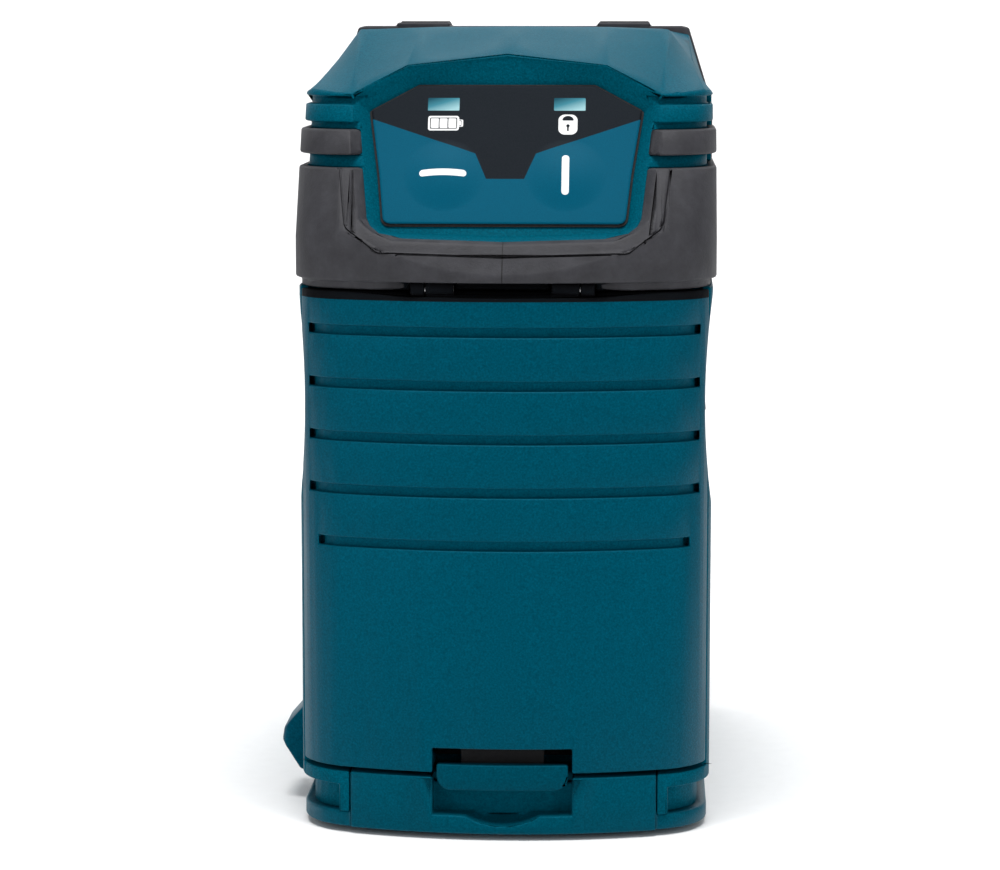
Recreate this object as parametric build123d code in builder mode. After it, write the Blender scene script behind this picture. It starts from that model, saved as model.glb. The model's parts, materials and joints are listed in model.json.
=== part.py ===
"""A pocket-size self-levelling cross-line laser level, in millimetres.

+Z is up, -Y is the rear (control panel and battery door), +Y is the front (laser window).
The origin is the mouth of the tripod thread, at the middle of the base.
"""

from build123d import *
import os
from math import cos, radians, sin

os.makedirs("parts", exist_ok=True)

# ---------------------------------------------------------------- driving sizes
BODY_WIDTH = 60.4  # across the two flanks
BODY_DEPTH = 100.8  # rear face to the casing's nose
BODY_HEIGHT = 117.0  # surface it stands on to the crest of the roof
WALL = 2.2  # casing wall
FOOT_HEIGHT = 0.5  # the base stands this much off the surface
REAR_BULGE = 6.5  # the rear face's middle stands out past its corners
FRONT_BULGE = 3.0
REAR_CORNER_R = 10.0
FRONT_CORNER_R = 9.0
LEAN_CORNER_R = 9.0  # corners of the leaning face
PANEL_TILT = 31.0  # degrees that the leaning face tips forward from vertical
PANEL_START = 35.0  # how far below the crest the leaning face starts
SPLIT_IN = 45.4  # the casings meet this far in from the rear face
GAP = 0.15  # general clearance between pieces that don't move on each other
RUN = 0.05  # radial clearance of a journal
BIG = 300.0

# roof: points (in from the flank, down from the crest) of its section at three places,
# the first two at these distances in from the rear face
ROOF_REAR_IN = 14.2
ROOF_REAR_DROP = 4.6
ROOF_REAR = [(15.7, 6.1), (7.6, 9.9), (1.0, 10.0), (-8.0, 10.5)]
CREST_IN = 44.4
CREST = [(16.2, 0.1), (6.4, 0.35), (2.9, 5.0), (-8.0, 24.7)]
ROOF_FRONT_BACK = 19.0  # the front section lies this far behind the nose
ROOF_FRONT = [(16.2, 0.1), (7.4, 0.4), (2.8, 1.4), (-8.0, 36.0)]

# flanks: a shallow waist for the fingers
WAIST_LOW = 48.0
WAIST_HIGH = 79.0
WAIST_DEEP = 1.1

# front: toe, chin and brow
TOE_BACK = 6.0
TOE_HEIGHT = 30.0
CHIN_HEIGHT = 54.0
BROW_DROP = 14.0
BROW_RUN = 13.0

# rubber and grip ribs, heights measured up from the belt's lower edge
RUBBER_PROUD = 0.5
RUBBER_DEEP = 1.0
GROOVE_DEEP = 0.95
LIP_SUNK = 0.4
BORDER = 2.2  # sunken strip of the belt beside the keypad's well
BORDER_SUNK = 0.25
BELT_DROP = 35.9  # belt's lower edge below the crest
LIP_HEIGHT = 1.2
BELT_HEIGHT = 15.9
LOW_GROOVE = 1.8
BLACK_RIB = 3.6
MID_GROOVE = 1.0
TEAL_RIB = 2.5
TOP_GROOVE = 1.2
RIB_RUN = 34.4  # ribs and grooves run forward this far from the rear face
RIB_INNER = 20.4  # and in to this X beside the control panel

# control panel; heights measured up the leaning plane
PANEL_SUNK = 2.4
KEYPAD_THICK = 0.6
KEYPAD_GAP = 0.35
POCKET = [(0.0, 5.2), (17.0, 5.8), (20.6, 8.8), (21.6, 17.5), (22.6, 29.4), (14.5, 34.3), (0.0, 36.2)]
PANEL = [(0.0, 7.6), (16.7, 8.2), (17.8, 9.3), (18.6, 17.5), (20.1, 28.0), (13.0, 32.5), (0.0, 32.5)]
KEYPAD_BASE = 9.1
BUTTON_HALF_PITCH = 8.85
BUTTON_UP = 17.3
BUTTON_R = 4.1
BUTTON_PROUD = 0.25  # under the keypad's dome
BUTTON_RIM = 0.9
BUTTON_TRAVEL = 0.5
LED_HALF_PITCH = 9.2
LED_UP = 29.1
LED_WIDTH = 4.6
LED_HEIGHT = 2.1
SWITCH_SIZE = 6.0
SWITCH_HEIGHT = 1.5
BOARD_THICK = 1.6
PANEL_BOARD_HALF = 17.0

# battery bay: three AA cells standing side by side
CELL_R = 7.25
CELL_LENGTH = 50.5
CELL_PITCH = 15.3
CELL_SLACK = 0.4
CELL_NUB_R = 2.7
CELL_NUB = 1.2
SPRING_ROOM = 6.0
CONTACT_THICK = 0.6
DOOR_WALL = 2.0
DOOR_HALF = 28.2  # the flat that the seal bears on; the door itself wraps both corners
DOOR_DEPTH = 10.0  # the door's edge lies on a plane this far in from the rear
DOOR_BOTTOM = 9.9
DOOR_CORNER_R = 4.5
DOOR_GAP = 0.3
DOOR_GROOVES = 5
DOOR_GROOVE_HEIGHT = 1.4
DOOR_GROOVE_HALF = 28.3
DOOR_NOTCH = 0.8  # the grooves' ends are deeper and this wide
DOOR_NOTCH_DEEP = 1.25
LAST_GROOVE_SHORT = 1.4
DOOR_GROOVE_PITCH = 7.7
DOOR_GROOVE_FIRST = 5.6  # first groove's middle below the door's top edge
DOOR_GROOVE_DEEP = 0.9
DOOR_BEVEL = 1.2  # forward of the hinge axis
DOOR_BEVEL_DROP = 0.72  # down at the rear face
SEAL_WIDTH = 1.2
SEAL_THICK = 0.8
SEAL_INSET = 0.6
BAY_LOW = 12.0
BAY_WALL = 1.6
STEM_HALF = 6.0
STEM_THICK = 1.2
STEM_TOP = 21.0
STEM_RAIL = 1.2
SPRING_R = 0.6
SPRING_LENGTH = 5.0

# door hinge and latch
HINGE_IN = 2.6  # hinge axis in from the rear face
HINGE_R = 1.3
HINGE_PIN_R = 0.7
HINGE_X = 9.0
HINGE_LENGTH = 4.0
HINGE_LUG = 2.0
LATCH_HALF = 10.15
LATCH_TOP = 13.5
TAB_LOW = 7.3
TAB_HIGH = 11.1
TAB_THICK = 2.0
TAB_SIDE = 0.6
TAB_CORNER_R = 2.0
LATCH_TRAVEL = 1.9
SCOOP_LOW = 3.6
SCOOP_DEEP = 3.4
SCOOP_R = 11.0
SCOOP_DISH = 1.5

# base
PLATE_TOP = 3.2
RAIL_HIGH = 7.2
RAIL_DEEP = 1.8
RAIL_INNER = 24.0
RAIL_BACKING = 2.0
UPSTAND_HALF = 22.5
FOOT_R = 1.25
FOOT_REAR_X = 8.6
FOOT_FRONT_X = 21.0
TRIPOD_R = 2.6  # 1/4 inch tripod thread, at its tapped wall
TRIPOD_LENGTH = 9.0
INSERT_R = 4.4
INSERT_FLANGE_R = 6.0
INSERT_FLANGE = 1.2
BOSS_WALL = 1.8

# screws: M2.5 tapping screws
SCREW_R = 1.2
SCREW_HEAD_R = 2.2
SCREW_HEAD = 1.5
SCREW_BOSS_R = 3.2
CASE_SCREW_LENGTH = 14.0
CASE_SCREW_LOW = 25.0
CASE_SCREW_DROP = 20.0
BASE_SCREW_LENGTH = 9.0
BOARD_SCREW_R = 1.0
BOARD_SCREW_HEAD_R = 1.8
BOARD_SCREW_HEAD = 1.0
BOARD_HOLE_IN = 4.0  # main board's holes in from its edges
BASE_SCREW_REAR_IN = 16.9
BASE_SCREW_FRONT_IN = 20.4

# lock slider on the left flank
SLIDER_IN = 29.4  # its middle, in from the rear face
SLIDER_LENGTH = 11.0
SLIDER_LOW = 4.6
SLIDER_HIGH = 15.4
SLIDER_PROUD = 4.4
SLIDER_TRAVEL = 8.0
SLOT_LOW = 9.6
SLOT_HIGH = 13.0
CARRIAGE = 1.6
SLIDER_NECK = 6.0
ARM_THICK = 2.5
ARM_HEIGHT = 3.0
WEDGE_X = -13.0
WEDGE_WIDTH = 4.0
PLUNGER_R = 2.4
PLUNGER_LIFT = 3.2
PLUNGER_AIR = 0.7
PLUNGER_LOW = 4.6
GUIDE_HIGH = 8.6

# levelling mechanism, hung from the roof
PIVOT_BACK = 39.0  # gimbal centre behind the front face
PIVOT_DROP = 21.0  # and below the crest
BEARING_OUT_R = 3.0
BEARING_IN_R = 1.0
BEARING_WIDTH = 2.3
BEARING_SHOULDER = 0.5
RING_HALF_X = 13.0
RING_HALF_Y = 10.5
RING_WALL = 2.5
RING_HALF_HEIGHT = 3.6
CHEEK_GAP = 1.0
CHEEK = 2.8
HUB_HALF_X = 4.0
HUB_HALF_HEIGHT = 3.4
CARRIER_TOP = 3.0
CARRIER_RISE = 9.5
ARM_HALF_X = 4.0
ARM_HALF_Y = 3.0
LASER_R = 5.0
LASER_LENGTH = 24.0
LASER_FIRST = 12.5  # upper laser's axis below the gimbal centre
LASER_PITCH = 14.0
CLAMP_WALL = 2.4
CLAMP_LENGTH = 12.0
LENS_R = 1.5
LENS_LENGTH = 5.0
DAMPER_HALF = 10.0
DAMPER_THICK = 1.5
DAMPER_LOW = 22.5
MAGNET_HALF = 2.5
MAGNET_X = 7.0
MAGNET_Y = 7.5
MAGNET_HEIGHT = 4.0
MAGNET_AIR = 1.8
BALANCE_R = 1.5
BALANCE_LENGTH = 12.0
BALANCE_LOW = 32.0

# main board
MAIN_BOARD_LOW = 20.0
MAIN_BOARD_HIGH = 68.0
MAIN_BOARD_HALF = 20.0
STANDOFF = 2.0

# window
WINDOW_HALF = 20.0
WINDOW_DROP = 55.0  # window's lower edge below the crest
WINDOW_THICK = 1.6
WINDOW_SINK = 2.6
WINDOW_SEAT = 1.6
GASKET = 0.8
BUMPER_PROUD = 1.2
BUMPER_BACK = 19.0  # bezel's top rear edge behind the front
BUMPER_SILL = 10.0  # bezel below the window
BUMPER_LEAN = 8.0
PAD_INNER = 12.3
PAD_OUTER = 21.0
PAD_RISE = 0.6

# ---------------------------------------------------------------- derived sizes
HALF = BODY_WIDTH / 2
REAR = -BODY_DEPTH / 2
FRONT = BODY_DEPTH / 2
LEAN = radians(PANEL_TILT)
SPLIT_Y = REAR + SPLIT_IN
ROOF_REAR_Y = REAR + ROOF_REAR_IN
CREST_Y = REAR + CREST_IN
RIB_FRONT_Y = REAR + RIB_RUN
SLIDER_Y = REAR + SLIDER_IN
BASE_SCREW_REAR_Y = REAR + BASE_SCREW_REAR_IN
BASE_SCREW_FRONT_Y = FRONT - BASE_SCREW_FRONT_IN
WINDOW_LOW = BODY_HEIGHT - WINDOW_DROP
BUMPER_LOW = WINDOW_LOW - BUMPER_SILL
PANEL_Z = BODY_HEIGHT - PANEL_START
BELT_LOW = BODY_HEIGHT - BELT_DROP
BELT_HIGH = BELT_LOW + BELT_HEIGHT
RIB_LOW = BELT_HIGH + LOW_GROOVE
RIB_HIGH = RIB_LOW + BLACK_RIB
TEAL_LOW = RIB_HIGH + MID_GROOVE
TEAL_HIGH = TEAL_LOW + TEAL_RIB
HOOD_LOW = TEAL_HIGH + TOP_GROOVE
DOOR_TOP = BELT_LOW - LIP_HEIGHT - DOOR_GAP
DOOR_PLANE = REAR + DOOR_DEPTH
LEDGE_Y = DOOR_PLANE + SEAL_THICK + 0.1
HINGE_Y = REAR + HINGE_IN
HINGE_Z = DOOR_TOP + 0.4
STEM_Y = REAR + DOOR_WALL + GAP + 0.1
DOOR_DROP = (DOOR_PLANE - HINGE_Y) ** 2 / (2 * (HINGE_Z - DOOR_BOTTOM))  # its inner edge dips as it opens
HEAD_FLOOR = HINGE_Z + HINGE_R + GAP + WALL
CELL_SAG = REAR_BULGE * (CELL_PITCH / HALF) ** 2
CELL_Y = REAR + CELL_SAG + DOOR_WALL + CELL_R + 1.5
BAY_HALF = CELL_PITCH + CELL_R + CELL_SLACK
BAY_BACK = CELL_Y + CELL_R + CELL_SLACK
BAY_HIGH = BAY_LOW + SPRING_ROOM + CELL_LENGTH + CELL_NUB + CONTACT_THICK + CELL_SLACK
PIVOT_Y = FRONT - PIVOT_BACK
PIVOT_Z = BODY_HEIGHT - PIVOT_DROP
BOARD_SUNK = PANEL_SUNK + WALL + BUTTON_RIM + BUTTON_TRAVEL + 0.8 + SWITCH_HEIGHT
MAGNET_TOP = DAMPER_LOW - MAGNET_AIR
BASE_SCREW_END = FOOT_HEIGHT + SCREW_HEAD + GAP + BASE_SCREW_LENGTH


def leaning_plane(sunk=0.0):
    """The leaning rear face's plane, or one sunk below it: X across, Y up the slope."""
    origin = (0, REAR + sunk * cos(LEAN), PANEL_Z - sunk * sin(LEAN))
    return Plane(origin=origin, x_dir=(1, 0, 0), z_dir=(0, -cos(LEAN), sin(LEAN)))


def mirrored_points(right):
    """An outline's right half, from bottom middle to top middle, with its mirror image."""
    left = [(-x, y) for x, y in reversed(right) if x > 0]
    return right + left


def slab(low, high, y_from=-BIG, y_to=BIG, x_from=-BIG, x_to=BIG):
    """A box between two heights, and optionally between limits of Y and X."""
    centre = ((x_from + x_to) / 2, (y_from + y_to) / 2, (low + high) / 2)
    return Pos(*centre) * Box(x_to - x_from, y_to - y_from, high - low, mode=Mode.PRIVATE)


def plan_outline():
    """Seen from above: bowed rear and front, straight flanks, round corners."""
    with BuildSketch() as plan:
        with BuildLine():
            back = ThreePointArc((-HALF, REAR + REAR_BULGE), (0, REAR), (HALF, REAR + REAR_BULGE))
            nose = ThreePointArc((HALF, FRONT - FRONT_BULGE), (0, FRONT), (-HALF, FRONT - FRONT_BULGE))
            Line(back @ 1, nose @ 0)
            Line(nose @ 1, back @ 0)
        make_face()
        fillet(plan.vertices().group_by(Axis.Y)[0], REAR_CORNER_R)
        fillet(plan.vertices().group_by(Axis.Y)[-1], FRONT_CORNER_R)
    return plan.sketch


def side_outline():
    """Seen from the flank: flat bottom, toe, chin and brow."""
    points = [
        (-BIG, FOOT_HEIGHT),
        (FRONT - TOE_BACK, FOOT_HEIGHT),
        (FRONT - TOE_BACK, TOE_HEIGHT),
        (FRONT, CHIN_HEIGHT),
        (FRONT, BODY_HEIGHT - BROW_DROP),
        (FRONT - BROW_RUN, BODY_HEIGHT),
        (FRONT - BROW_RUN, BIG),
        (-BIG, BIG),
    ]
    with BuildSketch() as side:
        with BuildLine():
            Polyline(*points, close=True)
        make_face()
    return side.sketch


def flank_outline():
    """Seen from the rear: two flanks with their shallow waists."""
    middle = (WAIST_LOW + WAIST_HIGH) / 2
    with BuildSketch() as view:
        with BuildLine():
            right = ThreePointArc((HALF, WAIST_LOW), (HALF - WAIST_DEEP, middle), (HALF, WAIST_HIGH))
            left = ThreePointArc((-HALF, WAIST_HIGH), (WAIST_DEEP - HALF, middle), (-HALF, WAIST_LOW))
            Polyline(left @ 1, (-HALF, -BIG), (HALF, -BIG), right @ 0)
            Polyline(right @ 1, (HALF, BIG), (-HALF, BIG), left @ 0)
        make_face()
    return view.sketch


def roof_face(y, middle_drop, points, inset):
    """The body's section at y, from far below up to the roof, as a face."""
    top = BODY_HEIGHT - inset
    right = [(HALF - inward, top - down) for inward, down in points]
    edge = right[-1][0]
    ring = [(edge, -BIG)] + list(reversed(right)) + [(0.0, top - middle_drop)]
    with BuildSketch(Plane.XZ.offset(-y)) as section:
        with BuildLine():
            Polyline(*ring, *[(-x, z) for x, z in reversed(ring[:-1])], close=True)
        make_face()
    return section.sketch.faces()[0]


def roof_body(inset):
    """Everything under the roof: level at the middle and front, falling towards the rear."""
    rear_face = roof_face(ROOF_REAR_Y, ROOF_REAR_DROP, ROOF_REAR, inset)
    crest_face = roof_face(CREST_Y, 0.0, CREST, inset)
    front_face = roof_face(FRONT - ROOF_FRONT_BACK, 0.0, ROOF_FRONT, inset)
    with BuildPart() as roof:
        loft([rear_face, crest_face, front_face], ruled=True)
        extrude(rear_face, amount=BIG, dir=(0, -1, 0))
        extrude(front_face, amount=BIG, dir=(0, 1, 0))
    return roof.part


def envelope(inset=0.0):
    """The body's outer form, every face moved in by inset, or out where it is negative."""
    across_slope = Plane(origin=leaning_plane(inset).origin, x_dir=(1, 0, 0), z_dir=(0, sin(LEAN), cos(LEAN)))
    half = HALF - inset
    with BuildPart() as body:
        with BuildSketch():
            add(plan_outline())
            if inset:
                offset(amount=-inset, kind=Kind.INTERSECTION)
        extrude(amount=BIG)
        with BuildSketch(Plane.YZ):
            add(side_outline())
            if inset:
                offset(amount=-inset, kind=Kind.INTERSECTION)
        extrude(amount=BIG, both=True, mode=Mode.INTERSECT)
        with BuildSketch(Plane.XZ):
            add(flank_outline())
            if inset:
                offset(amount=-inset, kind=Kind.INTERSECTION)
        extrude(amount=BIG, both=True, mode=Mode.INTERSECT)
        with BuildSketch(across_slope) as lean_section:
            with BuildLine():
                Polyline((-half, BIG), (-half, 0), (half, 0), (half, BIG), close=True)
            make_face()
            fillet(lean_section.vertices().sort_by_distance((0, 0, 0))[:2], max(LEAN_CORNER_R - inset, 0.5))
        extrude(amount=BIG, both=True, mode=Mode.INTERSECT)
        add(roof_body(inset), mode=Mode.INTERSECT)
    return body.part


def pocket_tool():
    """The tapered well round the keypad, down to the panel's floor."""
    rise = RUBBER_PROUD + 1.0
    stretch = 1 + rise / PANEL_SUNK
    wide = []
    for (x0, v0), (x1, v1) in zip(PANEL, POCKET):
        wide.append((x0 + (x1 - x0) * stretch, v0 + (v1 - v0) * stretch))
    with BuildPart() as tool:
        with BuildSketch(leaning_plane(-rise)):
            with BuildLine():
                Polyline(*mirrored_points(wide), close=True)
            make_face()
        with BuildSketch(leaning_plane(PANEL_SUNK)):
            with BuildLine():
                Polyline(*mirrored_points(PANEL), close=True)
            make_face()
        loft(ruled=True)
    return tool.part


def panel_backing():
    """The block behind the control panel that keeps its floor a full wall thick."""
    with BuildPart() as block:
        with BuildSketch(leaning_plane(PANEL_SUNK + WALL)):
            with BuildLine():
                Polyline(*mirrored_points(POCKET), close=True)
            make_face()
            offset(amount=0.8)
        extrude(amount=PANEL_SUNK + WALL)
    return block.part


def door_region(grow, drop=0.0):
    """The battery door's outline seen from the rear, grown all round, as a tool up to a plane."""
    low = DOOR_BOTTOM - grow - drop
    high = DOOR_TOP + grow
    half = DOOR_HALF + grow
    with BuildSketch(Plane.XZ) as region:
        with BuildLine():
            Polyline((-half, high), (-half, low), (half, low), (half, high), close=True)
        make_face()
        fillet(region.vertices().group_by(Axis.Y)[0], DOOR_CORNER_R + grow)
    return region.sketch


def door_tool(grow, y_to, drop=0.0):
    """A block with the door's outline that reaches from behind the rear face up to y_to."""
    with BuildPart() as block:
        with BuildSketch(Plane.XZ.offset(-y_to)):
            add(door_region(grow, drop).moved(Location((0, y_to, 0))))
        extrude(amount=BIG)
    return block.part


def tube(radius, start, end):
    """A round bar between two points."""
    path = Vector(*end) - Vector(*start)
    with BuildPart() as bar:
        with BuildSketch(Plane(origin=start, z_dir=path)):
            Circle(radius)
        extrude(amount=path.length)
    return bar.part


BODY = envelope()
INNER = envelope(WALL)
OUTSIDE = envelope(-BUMPER_PROUD)
RUBBER_OUT = envelope(-RUBBER_PROUD)
RUBBER_IN = envelope(RUBBER_DEEP)
POCKET_TOOL = pocket_tool()


def ring_shell(outside, inside, *limits):
    """What lies between two envelopes, kept to the given blocks."""
    with BuildPart() as ring:
        add(outside)
        add(inside, mode=Mode.SUBTRACT)
        for limit in limits:
            add(limit, mode=Mode.INTERSECT)
    return ring.part


def rib_zone(low, high, inner=RIB_INNER):
    """Two blocks beside the control panel, between two heights, back to where the ribs end."""
    right = slab(low, high, y_to=RIB_FRONT_Y, x_from=inner)
    return right + slab(low, high, y_to=RIB_FRONT_Y, x_to=-inner)


def finish(builder, name):
    """Label a finished piece and write its STEP file."""
    builder.part.label = name
    export_step(builder.part, f"parts/{name}.step")


# ---------------------------------------------------------------- rubber on the rear casing
BELT_LIP = ring_shell(
    envelope(LIP_SUNK),
    envelope(LIP_SUNK + RUBBER_DEEP),
    slab(BELT_LOW - LIP_HEIGHT, BELT_LOW, y_from=HINGE_Y + GAP, y_to=SPLIT_Y - GAP),
)
with BuildPart() as border:
    with BuildSketch(leaning_plane(-BIG)):
        with BuildLine():
            Polyline(*mirrored_points(POCKET), close=True)
        make_face()
        offset(amount=BORDER)
    extrude(amount=-BIG - REAR_CORNER_R)
with BuildPart() as rear_belt:
    add(ring_shell(RUBBER_OUT, RUBBER_IN, slab(BELT_LOW, BELT_HIGH, y_to=SPLIT_Y - GAP)))
    add(ring_shell(OUTSIDE, envelope(BORDER_SUNK - RUBBER_PROUD), border.part), mode=Mode.SUBTRACT)
    add(BELT_LIP)
    add(POCKET_TOOL, mode=Mode.SUBTRACT)
finish(rear_belt, "rear_belt")

RIBS = ring_shell(RUBBER_OUT, RUBBER_IN, rib_zone(RIB_LOW, RIB_HIGH))
LEFT_RIB, RIGHT_RIB = RIBS.solids().sort_by(Axis.X)
with BuildPart() as left_grip_rib:
    add(LEFT_RIB)
    add(POCKET_TOOL, mode=Mode.SUBTRACT)
finish(left_grip_rib, "left_grip_rib")

with BuildPart() as right_grip_rib:
    add(RIGHT_RIB)
    add(POCKET_TOOL, mode=Mode.SUBTRACT)
finish(right_grip_rib, "right_grip_rib")

# ---------------------------------------------------------------- rear casing
RAIL = ring_shell(OUTSIDE, envelope(RAIL_DEEP), slab(PLATE_TOP, RAIL_HIGH, y_to=FRONT - TOE_BACK - 8))
RAIL = RAIL - slab(0, BIG, y_to=0, x_from=-RAIL_INNER, x_to=RAIL_INNER)
with BuildPart() as rail_backer:
    with BuildSketch():
        Rectangle(BIG, BIG)
        add(offset(plan_outline(), amount=-RAIL_DEEP - RAIL_BACKING, mode=Mode.PRIVATE), mode=Mode.SUBTRACT)
    extrude(amount=RAIL_HIGH + WALL)
RAIL_BACKER = rail_backer.part
BOARD_POSTS = [(-13.6, 11.5), (13.6, 11.5), (-13.6, 25.5), (13.6, 25.5)]
SCREW_X = HALF - WALL - SCREW_BOSS_R + 1.0
CASE_SCREWS = [(x, z) for x in (-SCREW_X, SCREW_X) for z in (CASE_SCREW_LOW, BODY_HEIGHT - CASE_SCREW_DROP)]
BAY_BLOCK = slab(
    BAY_LOW - BAY_WALL,
    BAY_HIGH + BAY_WALL,
    y_to=BAY_BACK + BAY_WALL,
    x_from=-BAY_HALF - BAY_WALL,
    x_to=BAY_HALF + BAY_WALL,
)

with BuildPart() as rear_cavity:
    add(INNER)
    add(slab(0, BIG, y_to=SPLIT_Y), mode=Mode.INTERSECT)
    add(slab(0, HEAD_FLOOR, y_to=LEDGE_Y + WALL), mode=Mode.SUBTRACT)
    add(BAY_BLOCK, mode=Mode.SUBTRACT)
    add(panel_backing(), mode=Mode.SUBTRACT)
    add(RAIL_BACKER, mode=Mode.SUBTRACT)

with BuildPart() as rear_casing:
    add(BODY)
    add(slab(PLATE_TOP, BIG, y_to=SPLIT_Y), mode=Mode.INTERSECT)
    add(rear_cavity.part, mode=Mode.SUBTRACT)
    # well for the control panel, grooves between the ribs, seats for the rubber
    add(POCKET_TOOL, mode=Mode.SUBTRACT)
    for low, high in ((BELT_HIGH, RIB_LOW), (RIB_HIGH, TEAL_LOW), (TEAL_HIGH, HOOD_LOW)):
        add(ring_shell(OUTSIDE, envelope(GROOVE_DEEP), rib_zone(low, high)), mode=Mode.SUBTRACT)
    add(ring_shell(OUTSIDE, RUBBER_IN, rib_zone(RIB_LOW, RIB_HIGH)), mode=Mode.SUBTRACT)
    add(ring_shell(OUTSIDE, RUBBER_IN, slab(BELT_LOW, BELT_HIGH)), mode=Mode.SUBTRACT)
    lip_band = slab(BELT_LOW - LIP_HEIGHT, BELT_LOW, y_to=SPLIT_Y - GAP)
    add(ring_shell(OUTSIDE, envelope(LIP_SUNK + RUBBER_DEEP), lip_band), mode=Mode.SUBTRACT)
    # battery door opening, battery bay, room for the base's upstand, the rail round the foot
    add(door_tool(DOOR_GAP, LEDGE_Y, DOOR_DROP), mode=Mode.SUBTRACT)
    door_low = DOOR_BOTTOM - DOOR_GAP - DOOR_DROP
    add(slab(door_low, DOOR_TOP + DOOR_GAP, y_to=DOOR_PLANE + GAP), mode=Mode.SUBTRACT)
    add(slab(DOOR_TOP, BELT_LOW, y_to=HINGE_Y + GAP), mode=Mode.SUBTRACT)
    bay = slab(BAY_LOW, BAY_HIGH, y_to=BAY_BACK, x_from=-BAY_HALF, x_to=BAY_HALF)
    add(bay, mode=Mode.SUBTRACT)
    upstand_room = slab(0, DOOR_BOTTOM, y_to=LEDGE_Y, x_from=-UPSTAND_HALF, x_to=UPSTAND_HALF)
    add(upstand_room, mode=Mode.SUBTRACT)
    # slot for the lock slider
    slot_rear = SLIDER_Y - SLIDER_NECK / 2 - DOOR_GAP
    slot_front = SLIDER_Y + SLIDER_NECK / 2 + SLIDER_TRAVEL + DOOR_GAP
    add(slab(SLOT_LOW, SLOT_HIGH, slot_rear, slot_front, -BIG, 0), mode=Mode.SUBTRACT)
    # bosses: front casing, base plate, main board, panel board
    for x, z in CASE_SCREWS:
        add(tube(SCREW_BOSS_R, (x, SPLIT_Y - CASE_SCREW_LENGTH, z), (x, SPLIT_Y, z)))
    for x in (-SCREW_X, SCREW_X):
        add(tube(SCREW_BOSS_R, (x, BASE_SCREW_REAR_Y, PLATE_TOP), (x, BASE_SCREW_REAR_Y, BAY_LOW)))
    for x, up in BOARD_POSTS:
        post_plane = leaning_plane(PANEL_SUNK + WALL)
        start = post_plane.from_local_coords(Vector(x, up, 0.3))
        end = leaning_plane(BOARD_SUNK).from_local_coords(Vector(x, up, 0))
        add(tube(SCREW_R + 1.2, start, end))
    for x in (-MAIN_BOARD_HALF + BOARD_HOLE_IN, MAIN_BOARD_HALF - BOARD_HOLE_IN):
        for z in (MAIN_BOARD_LOW + BOARD_HOLE_IN, MAIN_BOARD_HIGH - BOARD_HOLE_IN):
            add(tube(SCREW_R + 1.2, (x, BAY_BACK + 0.4, z), (x, BAY_BACK + BAY_WALL + STANDOFF, z)))
    add(RAIL, mode=Mode.SUBTRACT)
    # hinge lugs beside the door's knuckles
    for x in (-1, 1):
        lug_from = x * (HINGE_X + HINGE_LENGTH / 2 + GAP)
        lug_to = lug_from + x * HINGE_LUG
        add(tube(HINGE_R, (lug_from, HINGE_Y, HINGE_Z), (lug_to, HINGE_Y, HINGE_Z)))
        lug_x = sorted((lug_from, lug_to))
        add(slab(HINGE_Z, BELT_LOW, HINGE_Y - 0.2, HINGE_Y + HINGE_R, *lug_x))
    # holes: screws, hinge pins, control panel
    for x, z in CASE_SCREWS:
        add(tube(SCREW_R, (x, SPLIT_Y - CASE_SCREW_LENGTH + 2, z), (x, SPLIT_Y + 1, z)), mode=Mode.SUBTRACT)
    for x in (-SCREW_X, SCREW_X):
        start = (x, BASE_SCREW_REAR_Y, 0)
        add(tube(SCREW_R, start, (x, BASE_SCREW_REAR_Y, BASE_SCREW_END)), mode=Mode.SUBTRACT)
    for x in (-1, 1):
        pin_end = x * (HINGE_X + HINGE_LENGTH / 2 + GAP + HINGE_LUG + 0.1)
        add(tube(HINGE_PIN_R, (0, HINGE_Y, HINGE_Z), (pin_end, HINGE_Y, HINGE_Z)), mode=Mode.SUBTRACT)
        knuckle_from = x * (HINGE_X - HINGE_LENGTH / 2 - DOOR_GAP)
        knuckle_to = x * (HINGE_X + HINGE_LENGTH / 2 + GAP)
        knuckle_room = tube(HINGE_R + DOOR_GAP, (knuckle_from, HINGE_Y, HINGE_Z), (knuckle_to, HINGE_Y, HINGE_Z))
        add(knuckle_room, mode=Mode.SUBTRACT)
    with BuildSketch(leaning_plane(PANEL_SUNK - 1)):
        with Locations((-BUTTON_HALF_PITCH, BUTTON_UP), (BUTTON_HALF_PITCH, BUTTON_UP)):
            Circle(BUTTON_R + 2 * RUN)
        with Locations((-LED_HALF_PITCH, LED_UP), (LED_HALF_PITCH, LED_UP)):
            Rectangle(LED_WIDTH, LED_HEIGHT)
    extrude(amount=-WALL - 2, mode=Mode.SUBTRACT)
    for x, up in BOARD_POSTS:
        start = leaning_plane(BOARD_SUNK + 1).from_local_coords(Vector(x, up, 0))
        end = leaning_plane(PANEL_SUNK + WALL + 0.6).from_local_coords(Vector(x, up, 0))
        add(tube(BOARD_SCREW_R, start, end), mode=Mode.SUBTRACT)
    for x in (-MAIN_BOARD_HALF + BOARD_HOLE_IN, MAIN_BOARD_HALF - BOARD_HOLE_IN):
        for z in (MAIN_BOARD_LOW + BOARD_HOLE_IN, MAIN_BOARD_HIGH - BOARD_HOLE_IN):
            add(tube(BOARD_SCREW_R, (x, BAY_BACK + 0.6, z), (x, 0, z)), mode=Mode.SUBTRACT)
finish(rear_casing, "rear_casing")

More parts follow.
